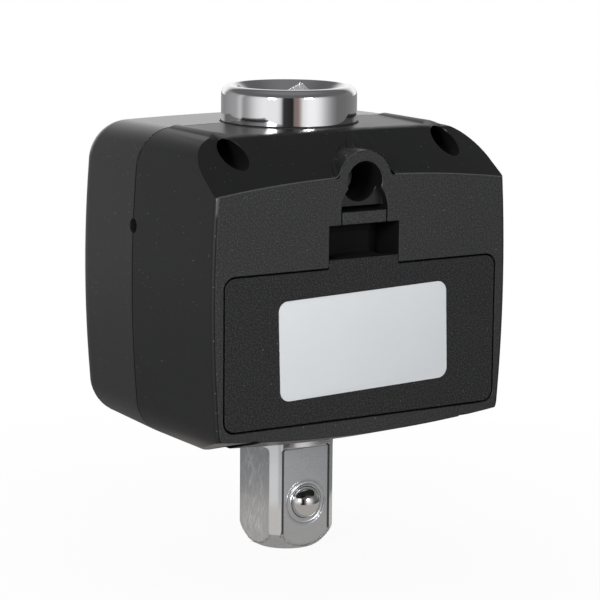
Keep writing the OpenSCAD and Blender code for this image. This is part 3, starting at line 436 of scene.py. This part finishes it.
def loft(name, rings):
    """A closed solid through rings of as many points each."""
    bpy.ops.mesh.primitive_circle_add(vertices=len(rings[0]), radius=20 * mm, fill_type="NGON")
    piece = bpy.context.object
    piece.name = name
    for vertex, point in zip(piece.data.vertices, rings[0]):
        vertex.co = point
    bpy.ops.object.mode_set(mode="EDIT")
    bpy.ops.mesh.select_all(action="SELECT")
    for last, ring in zip(rings, rings[1:]):
        bpy.ops.mesh.extrude_region_move()
        edited = bmesh.from_edit_mesh(piece.data)
        for vertex in edited.verts:
            if vertex.select:
                vertex.co = ring[min(range(len(last)), key=lambda i: (last[i] - vertex.co).length_squared)]
        bmesh.update_edit_mesh(piece.data)
    bpy.ops.mesh.select_all(action="SELECT")
    bpy.ops.mesh.normals_make_consistent(inside=False)
    bpy.ops.object.mode_set(mode="OBJECT")
    return piece


def shell_rings(sections):
    """The rings of a shell, from sections of (depth, growth, corner radius)."""
    return [[Vector((x, depth, z)) for x, z in outline(grow, radius)] for depth, grow, radius in sections]


def plate(x, z, width, high, radius, y0, y1):
    """An upright plate with round corners, from y0 to y1."""
    piece = block((x - width / 2, y0, z - high / 2), (x + width / 2, y1, z + high / 2))
    round_edges(piece, radius, 8, lambda a, b: abs(a.y - b.y) > 0.5 * abs(y1 - y0))
    return piece


def deep_rod(x, z, radius, y0, y1, vertices=64):
    """A rod along the depth."""
    return rod((x, y0, z), (x, y1, z), radius, vertices)


def bore_along_shaft(piece, bores, vertices):
    """Bores the piece along the shaft's axis: each bore is (low, high, radius)."""
    for low, high, radius in bores:
        carve(piece, rod((0, 0, low), (0, 0, high), radius, vertices))


def open_shell(shell):
    """Opens a shell for the shaft, and for the buzzer's sound at the seam."""
    bore_along_shaft(shell, (head_bore, journal_bore), 128)
    seam_y = split_y - seam / 2
    carve(shell, rod((24 * mm, seam_y, sound_z), (30 * mm, seam_y, sound_z), 1.15 * mm, 48))


def front_sections(inset, mouth):
    """The front shell's outlines: its front edge is rounded in a quarter circle."""
    radius = 5 * mm - inset
    sections = [(split_y - seam + mouth, -inset, split_corner - inset)]
    for step in range(13):
        turn = math.radians(7.5 * step)
        draw = radius * (1 - math.cos(turn))
        sections.append((front_y + inset + radius * (1 - math.sin(turn)), -inset - edge_draft - draw,
                         split_corner - inset - 0.9 * draw))
    return sections


front = loft("front_shell", shell_rings(front_sections(0, 0)))
hollow = loft("front_hollow", shell_rings(front_sections(wall, mm)))
for x, z in wells:
    carve(hollow, deep_rod(x, z, boss_radius, front_y, 0))
for x, z in posts:
    carve(hollow, deep_rod(x, z, post_radius, front_y, board_front_y))
bore_along_shaft(hollow, (head_collar, journal_collar), 96)
carve(front, hollow)
for x, z in wells:
    carve(front, deep_rod(x, z, 0.93 * mm, -12.2 * mm, 0, 24))
for x, z in posts:
    carve(front, deep_rod(x, z, 0.83 * mm, shell_in_y, -16 * mm, 24))
carve(front, plate(0, mid_z, 44.2 * mm, 41.2 * mm, 3.1 * mm, outside_y, -22.65 * mm))
carve(front, plate(0, lcd_z, 34 * mm, 13.5 * mm, mm, outside_y, window_in_y))
for x in key_xs:
    carve(front, plate(x, key_z, 7.7 * mm, 5.7 * mm, 1.15 * mm, outside_y, window_in_y))
for x in (-lamp_x, lamp_x):
    carve(front, deep_rod(x, lamp_z, 1.6 * mm, outside_y, window_in_y, 48))
open_shell(front)
soften(front, 0.12 * mm)
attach(front, "meter")
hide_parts("front_housing")


def moulded(name, colour, satin, textured_from, glance=0.5):
    """Black moulded plastic: satin and dusty, spark textured behind a depth, with a painted highlight on the
    upper edge.
    """
    made, tree, surface = fresh(name)
    place = node(tree, "ShaderNodeTexCoord", (-7, 0))
    surface.inputs["IOR"].default_value = 1.5
    surface.inputs["Specular IOR Level"].default_value = glance
    depth = node(tree, "ShaderNodeSeparateXYZ", (-6, -2))
    textured = node(tree, "ShaderNodeMapRange", (-5, -2),
                    {"From Min": textured_from - 0.02 * mm, "From Max": textured_from})
    grain = node(tree, "ShaderNodeGroup", (-6, 1),
                 {"Grain Scale": 4000.0, "Cloud Scale": 70.0, "Speck Scale": 2600.0}, node_tree=grain_group)
    tone = node(tree, "ShaderNodeMix", (-4, 2),
                {"A": (*[part * 0.85 for part in colour], 1),
                 "B": (*[part * 1.15 for part in colour], 1)}, data_type="RGBA")
    spark = node(tree, "ShaderNodeMapRange", (-5, 0), {"From Min": 0.46, "From Max": 0.75, "To Max": 0.5})
    spark_here = node(tree, "ShaderNodeMath", (-4, 0), operation="MULTIPLY")
    sparkled = node(tree, "ShaderNodeMix", (-3, 2), {"B": (0.11, 0.11, 0.113, 1)}, data_type="RGBA")
    dusty = node(tree, "ShaderNodeMix", (-2, 2), {"B": (0.12, 0.12, 0.12, 1)}, data_type="RGBA")
    # A lighter band just in front of the textured face, high up only: a painted highlight along the upper
    # edge
    edge_start = node(tree, "ShaderNodeMapRange", (-5, -3),
                      {"From Min": textured_from - 0.22 * mm, "From Max": textured_from - 0.18 * mm})
    edge_line = node(tree, "ShaderNodeMath", (-4, -3), operation="SUBTRACT", use_clamp=True)
    edge_high = node(tree, "ShaderNodeMapRange", (-4, -4), {"From Min": 61 * mm, "From Max": 62 * mm})
    edge_there = node(tree, "ShaderNodeMath", (-3, -3), operation="MULTIPLY")
    painted_edge_highlight = node(tree, "ShaderNodeMix", (-1, 2), {"B": (0.085, 0.085, 0.087, 1)}, data_type="RGBA")
    rough = node(tree, "ShaderNodeMapRange", (-3, -1), {"To Min": satin, "To Max": 0.55})
    strength = node(tree, "ShaderNodeMapRange", (-3, -2), {"To Min": 0.05, "To Max": 0.7})
    bump = node(tree, "ShaderNodeBump", (-2, -2), {"Distance": 0.00003})
    wire(tree, (place, "Object", depth, "Vector"), (depth, "Y", textured, "Value"),
         (grain, "Cloud", tone, "Factor"), (grain, "Grain", spark, "Value"),
         (spark, "Result", spark_here, 0), (textured, "Result", spark_here, 1),
         (tone, "Result", sparkled, "A"), (spark_here, 0, sparkled, "Factor"),
         (sparkled, "Result", dusty, "A"), (grain, "Specks", dusty, "Factor"),
         (textured, "Result", rough, "Value"), (textured, "Result", strength, "Value"),
         (strength, "Result", bump, "Strength"), (grain, "Grain", bump, "Height"),
         (bump, "Normal", surface, "Normal"), (depth, "Y", edge_start, "Value"),
         (edge_start, "Result", edge_line, 0), (textured, "Result", edge_line, 1),
         (depth, "Z", edge_high, "Value"), (edge_line, 0, edge_there, 0),
         (edge_high, "Result", edge_there, 1), (edge_there, 0, painted_edge_highlight, "Factor"),
         (dusty, "Result", painted_edge_highlight, "A"),
         (painted_edge_highlight, "Result", surface, "Base Color"), (rough, "Result", surface, "Roughness"))
    return made


front.data.materials.append(moulded("front_plastic", (0.021, 0.0212, 0.0217), 0.22, 30 * mm))


# Circuit board. Green laminate screwed to the four posts, with its chips, buzzer, switches and lamps. The
# display lies in front of it on two rubber connectors, behind a clear lens in the dark front panel.
dress(plain("solder_resist", (0.01, 0.12, 0.05), 0.4), "main_board")
dress(plain("chip_black", (0.02, 0.02, 0.02), 0.5), "board_chips", "buzzer", "tact_switches")
dress(plain("zinc_plating", (0.5, 0.5, 0.5), 0.3, 1.0), "board_screws", "anchor_screw")
dress(plain("lamp_resin", (0.7, 0.85, 0.7), 0.1, depth=0.05, Transmission_Weight=0.5), "indicator_lamps")
dress(plain("milky_diffuser", (0.8, 0.82, 0.8), 0.5), "lcd_backlight")
dress(plain("striped_elastomer", (0.6, 0.35, 0.35), 0.5), "lcd_connectors")
dress(plain("display_glass", (0.30, 0.34, 0.27), 0.08, vary=0.04, depth=0.02), "lcd_module")
dress(plain("clear_lens", (0.95, 0.96, 0.97), 0.02, vary=0.02, depth=0.01, Transmission_Weight=1.0,
            IOR=1.49), "lcd_lens")
dress(plain("panel_film", (0.035, 0.036, 0.04), 0.3, depth=0.1), "face_panel")


# Keys. Moulded rubber caps that come through the panel, three grey and a red one for power. A flange behind
# the shell's front holds each in, and its stem rests on a switch of the board.
key_rubber = plain("key_rubber", (0.12, 0.12, 0.13), 0.6)
power_rubber = plain("power_rubber", (0.42, 0.04, 0.03), 0.55)
cap = plate(key_xs[0], key_z, 7.4 * mm, 5.4 * mm, mm, -24.2 * mm, -21 * mm)
round_edges(cap, 0.35 * mm, 4, lambda a, b: a.y < -24 * mm and b.y < -24 * mm)
carve(cap, plate(key_xs[0], key_z, 8.6 * mm, 6.6 * mm, mm, -21.4 * mm, -20.6 * mm), "UNION")
carve(cap, deep_rod(key_xs[0], key_z, 1.5 * mm, -21 * mm, -19.6 * mm, 32), "UNION")
smooth(cap)
for x, name, body, rubber, slot_name in (
        (key_xs[1], "unit_key", "unit_button", key_rubber, "key_rubber"),
        (key_xs[2], "up_key", "up_button", key_rubber, "key_rubber"),
        (key_xs[3], "power_key", "power_button", power_rubber, "power_rubber"),
        (key_xs[0], "mode_key", "mode_button", key_rubber, "key_rubber")):
    key = bpy.data.objects.new(name + "_cap", cap.data.copy())
    bpy.context.scene.collection.objects.link(key)
    key.data.transform(Matrix.Translation((x - key_xs[0], 0, 0)))
    key.data.materials.append(rubber)
    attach(key, body)
    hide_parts(name)
bpy.data.objects.remove(cap, do_unlink=True)


# Rear shell. The same black plastic: two crowned slopes, raised screw wells, an arch for the anchor screw,
# the finger opening, the seat of the battery cover and the bay for two cells behind it. Four corner screws
# hold it to the front shell, and the anchor screw holds it to the shaft's head.
rear_y, behind_y = 23.5 * mm, 25 * mm
rear_corner, rear_round = 5.6 * mm, 0.8 * mm
body_low = 20.65 * mm
upper_slope, upper_drop = 35, 6.8 * mm
lower_slope, lower_rise = 16.7, 2.93 * mm
crown_radius, crest_radius = 245 * mm, 350 * mm
crest_y, crest_drop = 14.04 * mm, 0.41 * mm
arch_z, arch_radius, arch_start_y = 65.15 * mm, 5.1 * mm, 11.65 * mm
skirt_run, skirt_sink, fillet = 5.75 * mm, 0.05 * mm, 0.9 * mm
anchor_radius, anchor_hole_radius = 3.35 * mm, 1.75 * mm
well_radius, screw_hole_radius = 2.2 * mm, 1.15 * mm
scoop_x, scoop_z = 4.45 * mm, 61 * mm
finger_x, finger_low, finger_high = 6.75 * mm, 51.25 * mm, 58.35 * mm
finger_y = 16.5 * mm
cover_low, cover_high = 26.51 * mm, 51.3 * mm
bay_x, bay_low, bay_high = 24.78 * mm, 27.76 * mm, 50.05 * mm
bay_back_y, bay_floor_y, cell_y, cover_y = 9.2 * mm, 10.4 * mm, 15.85 * mm, 21.5 * mm
tongue_x, hinge_z, pocket_radius = 13 * mm, 26.26 * mm, 2.51 * mm


def rear_sections(inset, mouth):
    """The rear shell's outlines: drafted, with a small rounding at the rear."""
    sections = [(split_y - mouth, -inset, split_corner - inset)]
    for step in range(7):
        turn = math.radians(15 * step)
        draw = rear_round * (1 - math.cos(turn))
        sections.append((rear_y - inset - rear_round * (1 - math.sin(turn)), -inset - edge_draft - draw,
                         rear_corner - inset - draw))
    return sections


def trim_crowned(piece, slope, y, z, up, radius, inset):
    """Trims the piece to a wide cylinder that leans by the slope and passes through (y, z), moved in."""
    slant = math.radians(slope)
    along = 60 * mm * Vector((0, math.cos(slant), -up * math.sin(slant)))
    middle = Vector((0, y - radius * math.sin(slant), z - up * radius * math.cos(slant)))
    carve(piece, rod(middle - along, middle + along, radius - inset, 720), "INTERSECT")


def trim_slopes(piece, inset):
    """Trims the piece to the two crowned slopes, moved in by a wall."""
    trim_crowned(piece, upper_slope, rear_y, body_high - upper_drop, 1, crown_radius, inset)
    trim_crowned(piece, lower_slope, rear_y, body_low + lower_rise, -1, crown_radius, inset)


rear = loft("rear_shell", shell_rings(rear_sections(0, 0)))
for x in (-screw_x, screw_x):
    carve(rear, deep_rod(x, upper_screw_z, boss_radius, split_y + 0.2 * mm, 23 * mm), "UNION")
trim_slopes(rear, 0)

# The crest over the upper slope is broken by a narrow facet of half the slope's angle
trim_crowned(rear, upper_slope / 2, crest_y, body_high - crest_drop, 1, crest_radius, 0)

# The arch is a tube that dies into the slope; its foot runs out in a fillet, sunk a little into the slope
carve(rear, deep_rod(0, arch_z, arch_radius, arch_start_y, rear_y, 96), "UNION")
skirt_rings = []
for step in range(17):
    depth = rear_y - skirt_run * step / 15 if step < 16 else 12 * mm
    climb = (rear_y - max(depth, rear_y - skirt_run)) * math.tan(math.radians(upper_slope))
    foot_z = body_high - upper_drop + climb - skirt_sink
    rise = foot_z + fillet - arch_z
    out = math.sqrt((arch_radius + fillet) ** 2 - rise ** 2)
    tangent = math.atan2(rise, out)
    half = [(out, foot_z - 0.8 * mm)]
    for part in range(9):
        turn = math.radians(-90) - (math.radians(90) - tangent) * part / 8
        half.append((out + fillet * math.cos(turn), foot_z + fillet + fillet * math.sin(turn)))
    for part in range(1, 13):
        turn = tangent + (math.radians(90) - tangent) * part / 12
        half.append((arch_radius * math.cos(turn), arch_z + arch_radius * math.sin(turn)))
    ring = half + [(-x, z) for x, z in reversed(half[:-1])]
    skirt_rings.append([Vector((x, depth, z)) for x, z in ring])
carve(rear, loft("skirt", skirt_rings), "UNION")

# The inside stays solid round the bay, the tongues' pockets, the wells, the arch and the shaft
hollow = loft("rear_hollow", shell_rings(rear_sections(wall, mm)))
trim_slopes(hollow, wall)
carve(hollow, block((-30 * mm, bay_back_y, 26.56 * mm), (30 * mm, behind_y, finger_low)))
carve(hollow, block((-7.95 * mm, 15.3 * mm, bay_high), (7.95 * mm, behind_y, scoop_z)))
for side in (-1, 1):
    middle = side * tongue_x
    carve(hollow, block((middle - 4.6 * mm, cell_y, 20 * mm), (middle + 4.6 * mm, behind_y, bay_low)))
    for z in (upper_screw_z, lower_screw_z):
        carve(hollow, deep_rod(side * screw_x, z, boss_radius, -4 * mm, behind_y))
carve(hollow, deep_rod(0, arch_z, 4.55 * mm, arch_start_y, behind_y))
bore_along_shaft(hollow, (head_collar, journal_collar), 96)
carve(rear, hollow)

# The bay, the seat of the cover with the pockets of its tongues, the finger opening and the scoop
carve(rear, block((-bay_x, bay_floor_y, bay_low), (bay_x, behind_y, bay_high)))
carve(rear, plate(0, (cover_low + cover_high) / 2, 52.56 * mm, 25.29 * mm, 2.05 * mm, 21.4 * mm, behind_y))
for side in (-1, 1):
    middle = side * tongue_x
    pocket = rod((middle - 2.4 * mm, rear_y, hinge_z), (middle + 2.4 * mm, rear_y, hinge_z), pocket_radius)
    carve(pocket, block((middle - 3 * mm, 18 * mm, 24.91 * mm), (middle + 3 * mm, 22.45 * mm, 30 * mm)),
          "INTERSECT")
    carve(rear, pocket)
carve(rear, block((-finger_x, finger_y, finger_low), (finger_x, behind_y, finger_high)))
carve(rear, block((-scoop_x, finger_y, 57.35 * mm), (scoop_x, behind_y, scoop_z)))
carve(rear, deep_rod(0, scoop_z, scoop_x, 21.7 * mm, behind_y, 96))

# The wells and holes of the screws, the openings shared with the front shell and the terminals' two notches
carve(rear, deep_rod(0, arch_z, anchor_radius, 13.4 * mm, behind_y, 96))
carve(rear, deep_rod(0, arch_z, anchor_hole_radius, 10 * mm, 14 * mm))
for x, z in wells:
    carve(rear, deep_rod(x, z, well_radius, 1.8 * mm, 26 * mm))
    carve(rear, deep_rod(x, z, screw_hole_radius, -4 * mm, 2.8 * mm, 32))
open_shell(rear)
for z in (33.44 * mm, 44.37 * mm):
    carve(rear, block((-bay_x, 8 * mm, z - 1.1 * mm), (-bay_x + 0.8 * mm, 11 * mm, z + 1.1 * mm)))
soften(rear, 0.1 * mm, segments=1)
rear.data.materials.append(moulded("rear_plastic", (0.0094, 0.0096, 0.0099), 0.32, 23.45 * mm, 0.43))
# Painted shade: a near-black, matte skin with little gloss for the insides of wells, the arch and openings
painted_pocket_shade = plain("painted_pocket_shade", (0.004, 0.004, 0.004), 0.9, depth=0.1, Specular_IOR_Level=0.2)


def paint_shade_inside(piece, inside):
    """Gives the faces that the test picks, by centre and normal, a near-black, matte skin: painted shade in a
    pocket.
    """
    piece.data.materials.append(painted_pocket_shade)
    for face in piece.data.polygons:
        if inside(face.center, face.normal):
            face.material_index = 1


def in_pocket(p, facing):
    """Tells whether a face of the rear shell lies in a screw's well, in the arch or in the finger opening."""
    wall_of_hole = abs(facing.y) < 0.2
    in_well = any(math.hypot(p.x - x, p.z - z) < well_radius + 0.05 * mm for x, z in wells)
    in_arch = math.hypot(p.x, p.z - arch_z) < anchor_radius + 0.05 * mm
    in_opening = abs(p.x) < 6.8 * mm and 51.2 * mm < p.z < 58.4 * mm
    return p.y < 23.2 * mm and ((wall_of_hole or p.y < 3 * mm) and in_well
                                or (wall_of_hole or p.y < 14 * mm) and in_arch or in_opening)


# Painted shade in the screw wells, the arch and the finger opening
paint_shade_inside(rear, in_pocket)
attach(rear, "meter")
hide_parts("rear_housing")
dress(plain("black_oxide", (0.05, 0.05, 0.052), 0.35, 0.9), "corner_screws")


# Cells. Two dry cells in dark jackets lie in the bay, which the cover closes. The springs, the link and the
# two terminals that they press on are nickel plated, and the end walls of the bay hold them.
dress(plain("cell_jacket", (0.08, 0.09, 0.10), 0.25, 0.3), "upper_cell", "lower_cell")
dress(plain("contact_nickel", (0.7, 0.69, 0.66), 0.25, 1.0),
      "contact_springs", "link_contact", "terminal_contacts")


# Latch. A moulded finger of the same plastic as the cover. It turns on a round foot in the cover's shelf and
# springs back under the scoop.
latch_x, latch_back_y, latch_high = 4.25 * mm, 17.5 * mm, 60.4 * mm
foot_y, foot_z = 17.9 * mm, 53.08 * mm
cover_black = (0.0085, 0.0087, 0.0091)
latch = rod((-latch_x, foot_y, foot_z), (latch_x, foot_y, foot_z), 0.7 * mm, 48)
latch.name = "latch"
for face_y, low in ((18.3 * mm, foot_z), (18.8 * mm, 56.65 * mm), (23.45 * mm, finger_high)):
    carve(latch, block((-latch_x, latch_back_y, low), (latch_x, face_y, latch_high)), "UNION")
soften(latch, 0.15 * mm, segments=3)
latch.data.materials.append(moulded("latch_plastic", cover_black, 0.4, 23.35 * mm))
# Painted shade on the latch's faces down in the finger opening
paint_shade_inside(latch, lambda p, facing: p.y < 22.9 * mm and p.z < 58.4 * mm)
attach(latch, "latch")
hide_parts("battery_latch")


# Battery cover. A flush moulded plate with a fine spark texture. Two tongues below are its hinge, and a
# shelf behind its upper tab carries the latch, which holds it shut.
tab_x, tab_high, shelf_x = 6.65 * mm, 52.85 * mm, 4.45 * mm
cover = plate(0, (cover_low + cover_high) / 2, 52.06 * mm, 24.79 * mm, 1.8 * mm, cover_y, rear_y)
cover.name = "cover"
carve(cover, block((-tab_x, cover_y, 50.3 * mm), (tab_x, rear_y, tab_high)), "UNION")
carve(cover, block((-shelf_x, 16.85 * mm, 51.55 * mm), (shelf_x, 22.5 * mm, tab_high)), "UNION")
for side in (-1, 1):
    carve(cover, block((side * tongue_x - 2.3 * mm, cover_y, 25.01 * mm),
                       (side * tongue_x + 2.3 * mm, cover_y + 0.8 * mm, 27.51 * mm)), "UNION")
carve(cover, rod((-6 * mm, foot_y, foot_z), (6 * mm, foot_y, foot_z), 0.75 * mm, 48))
soften(cover, 0.15 * mm, segments=3)
cover.data.materials.append(moulded("cover_plastic", cover_black, 0.4, 23.35 * mm, 0.24))
# Painted shade on the cover's tab and shelf in the finger opening
paint_shade_inside(cover, lambda p, facing: p.y < 23.2 * mm and p.z > 51.4 * mm)
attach(cover, "cover")
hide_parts("battery_cover")


# Label. A blank pale film with a glued back, stuck on the cover a little askew.
label_width, label_high, film = 32.4 * mm, 16.3 * mm, 0.15 * mm
label_x, label_z, askew = -0.2 * mm, 39.15 * mm, math.radians(1.7)
label = plate(0, 0, label_width, label_high, 1.7 * mm, rear_y, rear_y + film)
label.name = "label"
round_edges(label, 0.04 * mm, 2, lambda a, b: a.y > 23.6 * mm and b.y > 23.6 * mm)
label.data.transform(Matrix.Rotation(askew, 4, "Y"))
label.data.transform(Matrix.Translation((label_x, 0, label_z)))
smooth(label)
label.data.materials.append(
    plain("label_film", (0.69, 0.706, 0.723), 0.42, vary=0.02, grain_size=0.5 * mm, depth=0.06))
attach(label, "cover")
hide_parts("rear_label")


# Camera, at the photograph's viewing angle.
camera_data = bpy.data.cameras.new("camera")
camera = bpy.data.objects.new("camera", camera_data)
bpy.context.scene.collection.objects.link(camera)
bpy.context.scene.camera = camera
camera_data.lens = 155.445
camera_data.sensor_width = 36
camera_data.clip_start, camera_data.clip_end = 0.01, 20
azimuth, elevation, roll = math.radians(32.069), math.radians(10.143), math.radians(0.510)
flat_back = Vector((math.sin(azimuth), math.cos(azimuth), 0))
level = Vector((-math.cos(azimuth), math.sin(azimuth), 0))
back = Vector((math.sin(azimuth) * math.cos(elevation), math.cos(azimuth) * math.cos(elevation),
               math.sin(elevation)))
across = math.cos(roll) * level + math.sin(roll) * back.cross(level)
camera_turn = Matrix((across, back.cross(across), back)).transposed().to_4x4()
camera.matrix_world = Matrix.Translation((228.23 * mm, 368.28 * mm, 119.68 * mm)) @ camera_turn


# Studio. Pale panels stand left and right of the camera, with a dark gap between them: bright metal shows
# them, and they are laid out by their bearing from the camera's direction.
panels = bpy.data.node_groups.new("studio panels", "ShaderNodeTree")
panels.interface.new_socket("Direction", in_out="INPUT", socket_type="NodeSocketVector")
panels.interface.new_socket("Color", in_out="OUTPUT", socket_type="NodeSocketColor")
panels_in, panels_out = node(panels, "NodeGroupInput", (-4, 0)), node(panels, "NodeGroupOutput", (3, 0))
ahead = node(panels, "ShaderNodeVectorMath", (-3, 1), operation="DOT_PRODUCT")
ahead.inputs[1].default_value = flat_back
aside = node(panels, "ShaderNodeVectorMath", (-3, 0), operation="DOT_PRODUCT")
aside.inputs[1].default_value = level
bearing = node(panels, "ShaderNodeMath", (-2, 0), operation="ARCTAN2")
turned_share = node(panels, "ShaderNodeMapRange", (-1, 0), {"From Min": -math.pi, "From Max": math.pi})
ramp = node(panels, "ShaderNodeValToRGB", (0, 0))
stops = [
    (-180, 0.35), (-138, 0.26), (-125, 0.31), (-101, 0.37), (-93, 0.52), (-90, 0.57), (-86, 0.45), (-81, 0.3),
    (-73, 0.39), (-65, 0.57), (-57, 0.75), (-49, 0.87), (-42, 0.93), (-19, 0.91), (-14, 0.72), (-9, 0.04),
    (7, 0.02), (9, 0.17), (16, 0.2), (19, 0.36), (24, 0.85), (33, 1.02), (42, 1.03), (48, 0.97), (55, 0.82),
    (63, 0.57), (71, 0.38), (80, 0.24), (90, 0.155), (110, 0.165), (135, 0.22), (180, 0.35)]
elements = ramp.color_ramp.elements
for index, (degrees, value) in enumerate(stops):
    red, blue = (1.25, 0.95) if 8 < degrees < 20 else (1, 1.015)
    stop = elements[index] if index < 2 else elements.new(1)
    stop.position = (degrees + 180) / 360
    stop.color = (value * red, value, value * blue, 1)
wire(panels, (panels_in, "Direction", ahead, 0), (panels_in, "Direction", aside, 0),
     (aside, "Value", bearing, 0), (ahead, "Value", bearing, 1), (bearing, 0, turned_share, "Value"),
     (turned_share, "Result", ramp, "Fac"), (ramp, "Color", panels_out, "Color"))

# What the camera sees is white, what gloss mirrors is the panels and a dim roof, and the rest is an even fill
world = bpy.context.scene.world or bpy.data.worlds.new("studio")
bpy.context.scene.world = world
world.use_nodes = True
tree = world.node_tree
tree.nodes.clear()
sky = node(tree, "ShaderNodeTexCoord", (-5, 0))
rise = node(tree, "ShaderNodeSeparateXYZ", (-4, -1))
ceiling = node(tree, "ShaderNodeMapRange", (-3, -1), {"From Min": 0.34, "From Max": 0.52})
zenith = node(tree, "ShaderNodeMapRange", (-3, -2), {"From Min": 0.8, "From Max": 0.97})
walls = node(tree, "ShaderNodeGroup", (-4, 0), node_tree=panels)
away = node(tree, "ShaderNodeVectorMath", (-4, 1), operation="DOT_PRODUCT")
away.inputs[1].default_value = -flat_back
backdrop = node(tree, "ShaderNodeMapRange", (-3, 1), {"From Min": 0.7, "From Max": 0.85})
behind = node(tree, "ShaderNodeMix", (-3, 0), {"B": (1, 1, 1, 1)}, data_type="RGBA")
roof = node(tree, "ShaderNodeMix", (-2, -1),
            {"A": (0.13, 0.13, 0.135, 1), "B": (0.2, 0.2, 0.205, 1)}, data_type="RGBA")
high_backdrop = node(tree, "ShaderNodeMapRange", (-3, -3), {"From Min": 0.25, "From Max": 0.7})
edge = node(tree, "ShaderNodeMix", (-2, -2), data_type="FLOAT")
room = node(tree, "ShaderNodeMix", (-2, 0), data_type="RGBA")
rays = node(tree, "ShaderNodeLightPath", (-3, 2))
shown = node(tree, "ShaderNodeBackground", (-1, 2), {"Color": (1, 1, 1, 1)})
mirrored = node(tree, "ShaderNodeBackground", (-1, 1))
fill = node(tree, "ShaderNodeBackground", (-1, 0), {"Color": (0.96, 0.98, 1, 1), "Strength": 0.3})
glossy = node(tree, "ShaderNodeMixShader", (0, 0))
choose = node(tree, "ShaderNodeMixShader", (1, 0))
world_out = node(tree, "ShaderNodeOutputWorld", (2, 0))
wire(tree, (sky, "Generated", walls, "Direction"), (sky, "Generated", rise, "Vector"),
     (rise, "Z", ceiling, "Value"), (rise, "Z", zenith, "Value"), (zenith, "Result", roof, "Factor"),
     (sky, "Generated", away, 0), (away, "Value", backdrop, "Value"), (walls, "Color", behind, "A"),
     (backdrop, "Result", behind, "Factor"), (behind, "Result", room, "A"), (roof, "Result", room, "B"),
     (rise, "Z", high_backdrop, "Value"), (ceiling, "Result", edge, "A"),
     (high_backdrop, "Result", edge, "B"), (backdrop, "Result", edge, "Factor"),
     (edge, "Result", room, "Factor"), (room, "Result", mirrored, "Color"),
     (rays, "Is Glossy Ray", glossy, 0), (fill, 0, glossy, 1), (mirrored, 0, glossy, 2),
     (rays, "Is Camera Ray", choose, 0), (glossy, 0, choose, 1), (shown, 0, choose, 2),
     (choose, 0, world_out, 0))

# The floor is white paper. For gloss it carries the panels on, with a small pale table under the drive; near
# the object that mirrored floor is dimmer, a painted shade.
bpy.ops.mesh.primitive_plane_add(size=8, location=(0, 0, -0.2 * mm))
floor = bpy.context.object
floor.name = "floor"
paper, tree, surface = fresh("white_paper")
place = node(tree, "ShaderNodeTexCoord", (-7, 0))
surface.inputs["Base Color"].default_value = (0.82, 0.82, 0.82, 1)
surface.inputs["Roughness"].default_value = 0.9
surface.inputs["Specular IOR Level"].default_value = 0.0
far = node(tree, "ShaderNodeVectorMath", (-5, 1), operation="LENGTH")
far_mask = node(tree, "ShaderNodeMapRange", (-4, 1), {"From Min": 0.02, "From Max": 0.12, "To Min": 0.94})
near_mask = node(tree, "ShaderNodeMapRange", (-4, -2), {"From Min": 0.036, "From Max": 0.042})
table = node(tree, "ShaderNodeMix", (-3, -2), {"A": (0.74, 0.71, 0.67, 1)}, data_type="RGBA")
# The mirrored floor dims towards the object: painted shade
mirror_painted_shade = node(tree, "ShaderNodeMapRange", (-4, -3), {"From Min": 0.12, "From Max": 0.36, "To Min": 0.6})
white = node(tree, "ShaderNodeEmission", (-3, 1), {"Color": (1, 1, 1, 1)})
rays = node(tree, "ShaderNodeLightPath", (-4, 2))
shown_white = node(tree, "ShaderNodeMath", (-3, 2), operation="MULTIPLY")
sheet_shader = node(tree, "ShaderNodeMixShader", (0, 1))
walls = node(tree, "ShaderNodeGroup", (-4, -1), node_tree=panels)
mirror = node(tree, "ShaderNodeEmission", (-3, -1))
choose = node(tree, "ShaderNodeMixShader", (1, 0))
wire(tree, (place, "Object", far, 0), (far, "Value", far_mask, "Value"),
     (far_mask, "Result", shown_white, 0), (rays, "Is Camera Ray", shown_white, 1),
     (shown_white, 0, sheet_shader, 0), (surface, "BSDF", sheet_shader, 1), (white, 0, sheet_shader, 2),
     (place, "Object", walls, "Direction"), (far, "Value", near_mask, "Value"),
     (near_mask, "Result", table, "Factor"), (walls, "Color", table, "B"), (table, "Result", mirror, "Color"),
     (far, "Value", mirror_painted_shade, "Value"), (mirror_painted_shade, "Result", mirror, "Strength"),
     (rays, "Is Glossy Ray", choose, 0), (sheet_shader, 0, choose, 1), (mirror, 0, choose, 2),
     (choose, 0, tree.nodes["Material Output"], "Surface"))
floor.data.materials.append(paper)

# Three square lamps, aimed at the middle of the object
aim = Vector((0, 0, 45 * mm))
for name, spot, size, power, in_gloss in (
        ("left_lamp", (0.741, 0.428, 0.278), 0.2, 2.8, True),
        ("right_lamp", (-0.044, 0.845, 0.308), 0.2, 2.55, True),
        ("back_lamp", (0.0, -0.6, 0.8), 0.6, 3.5, False)):
    lamp_data = bpy.data.lights.new(name, "AREA")
    lamp_data.shape = "SQUARE"
    lamp_data.size = size
    lamp_data.energy = power
    lamp = bpy.data.objects.new(name, lamp_data)
    bpy.context.scene.collection.objects.link(lamp)
    lamp.visible_glossy = in_gloss
    lamp.location = spot
    lamp.rotation_euler = (aim - Vector(spot)).to_track_quat("-Z", "Y").to_euler()

bpy.context.scene.view_settings.view_transform = "Standard"
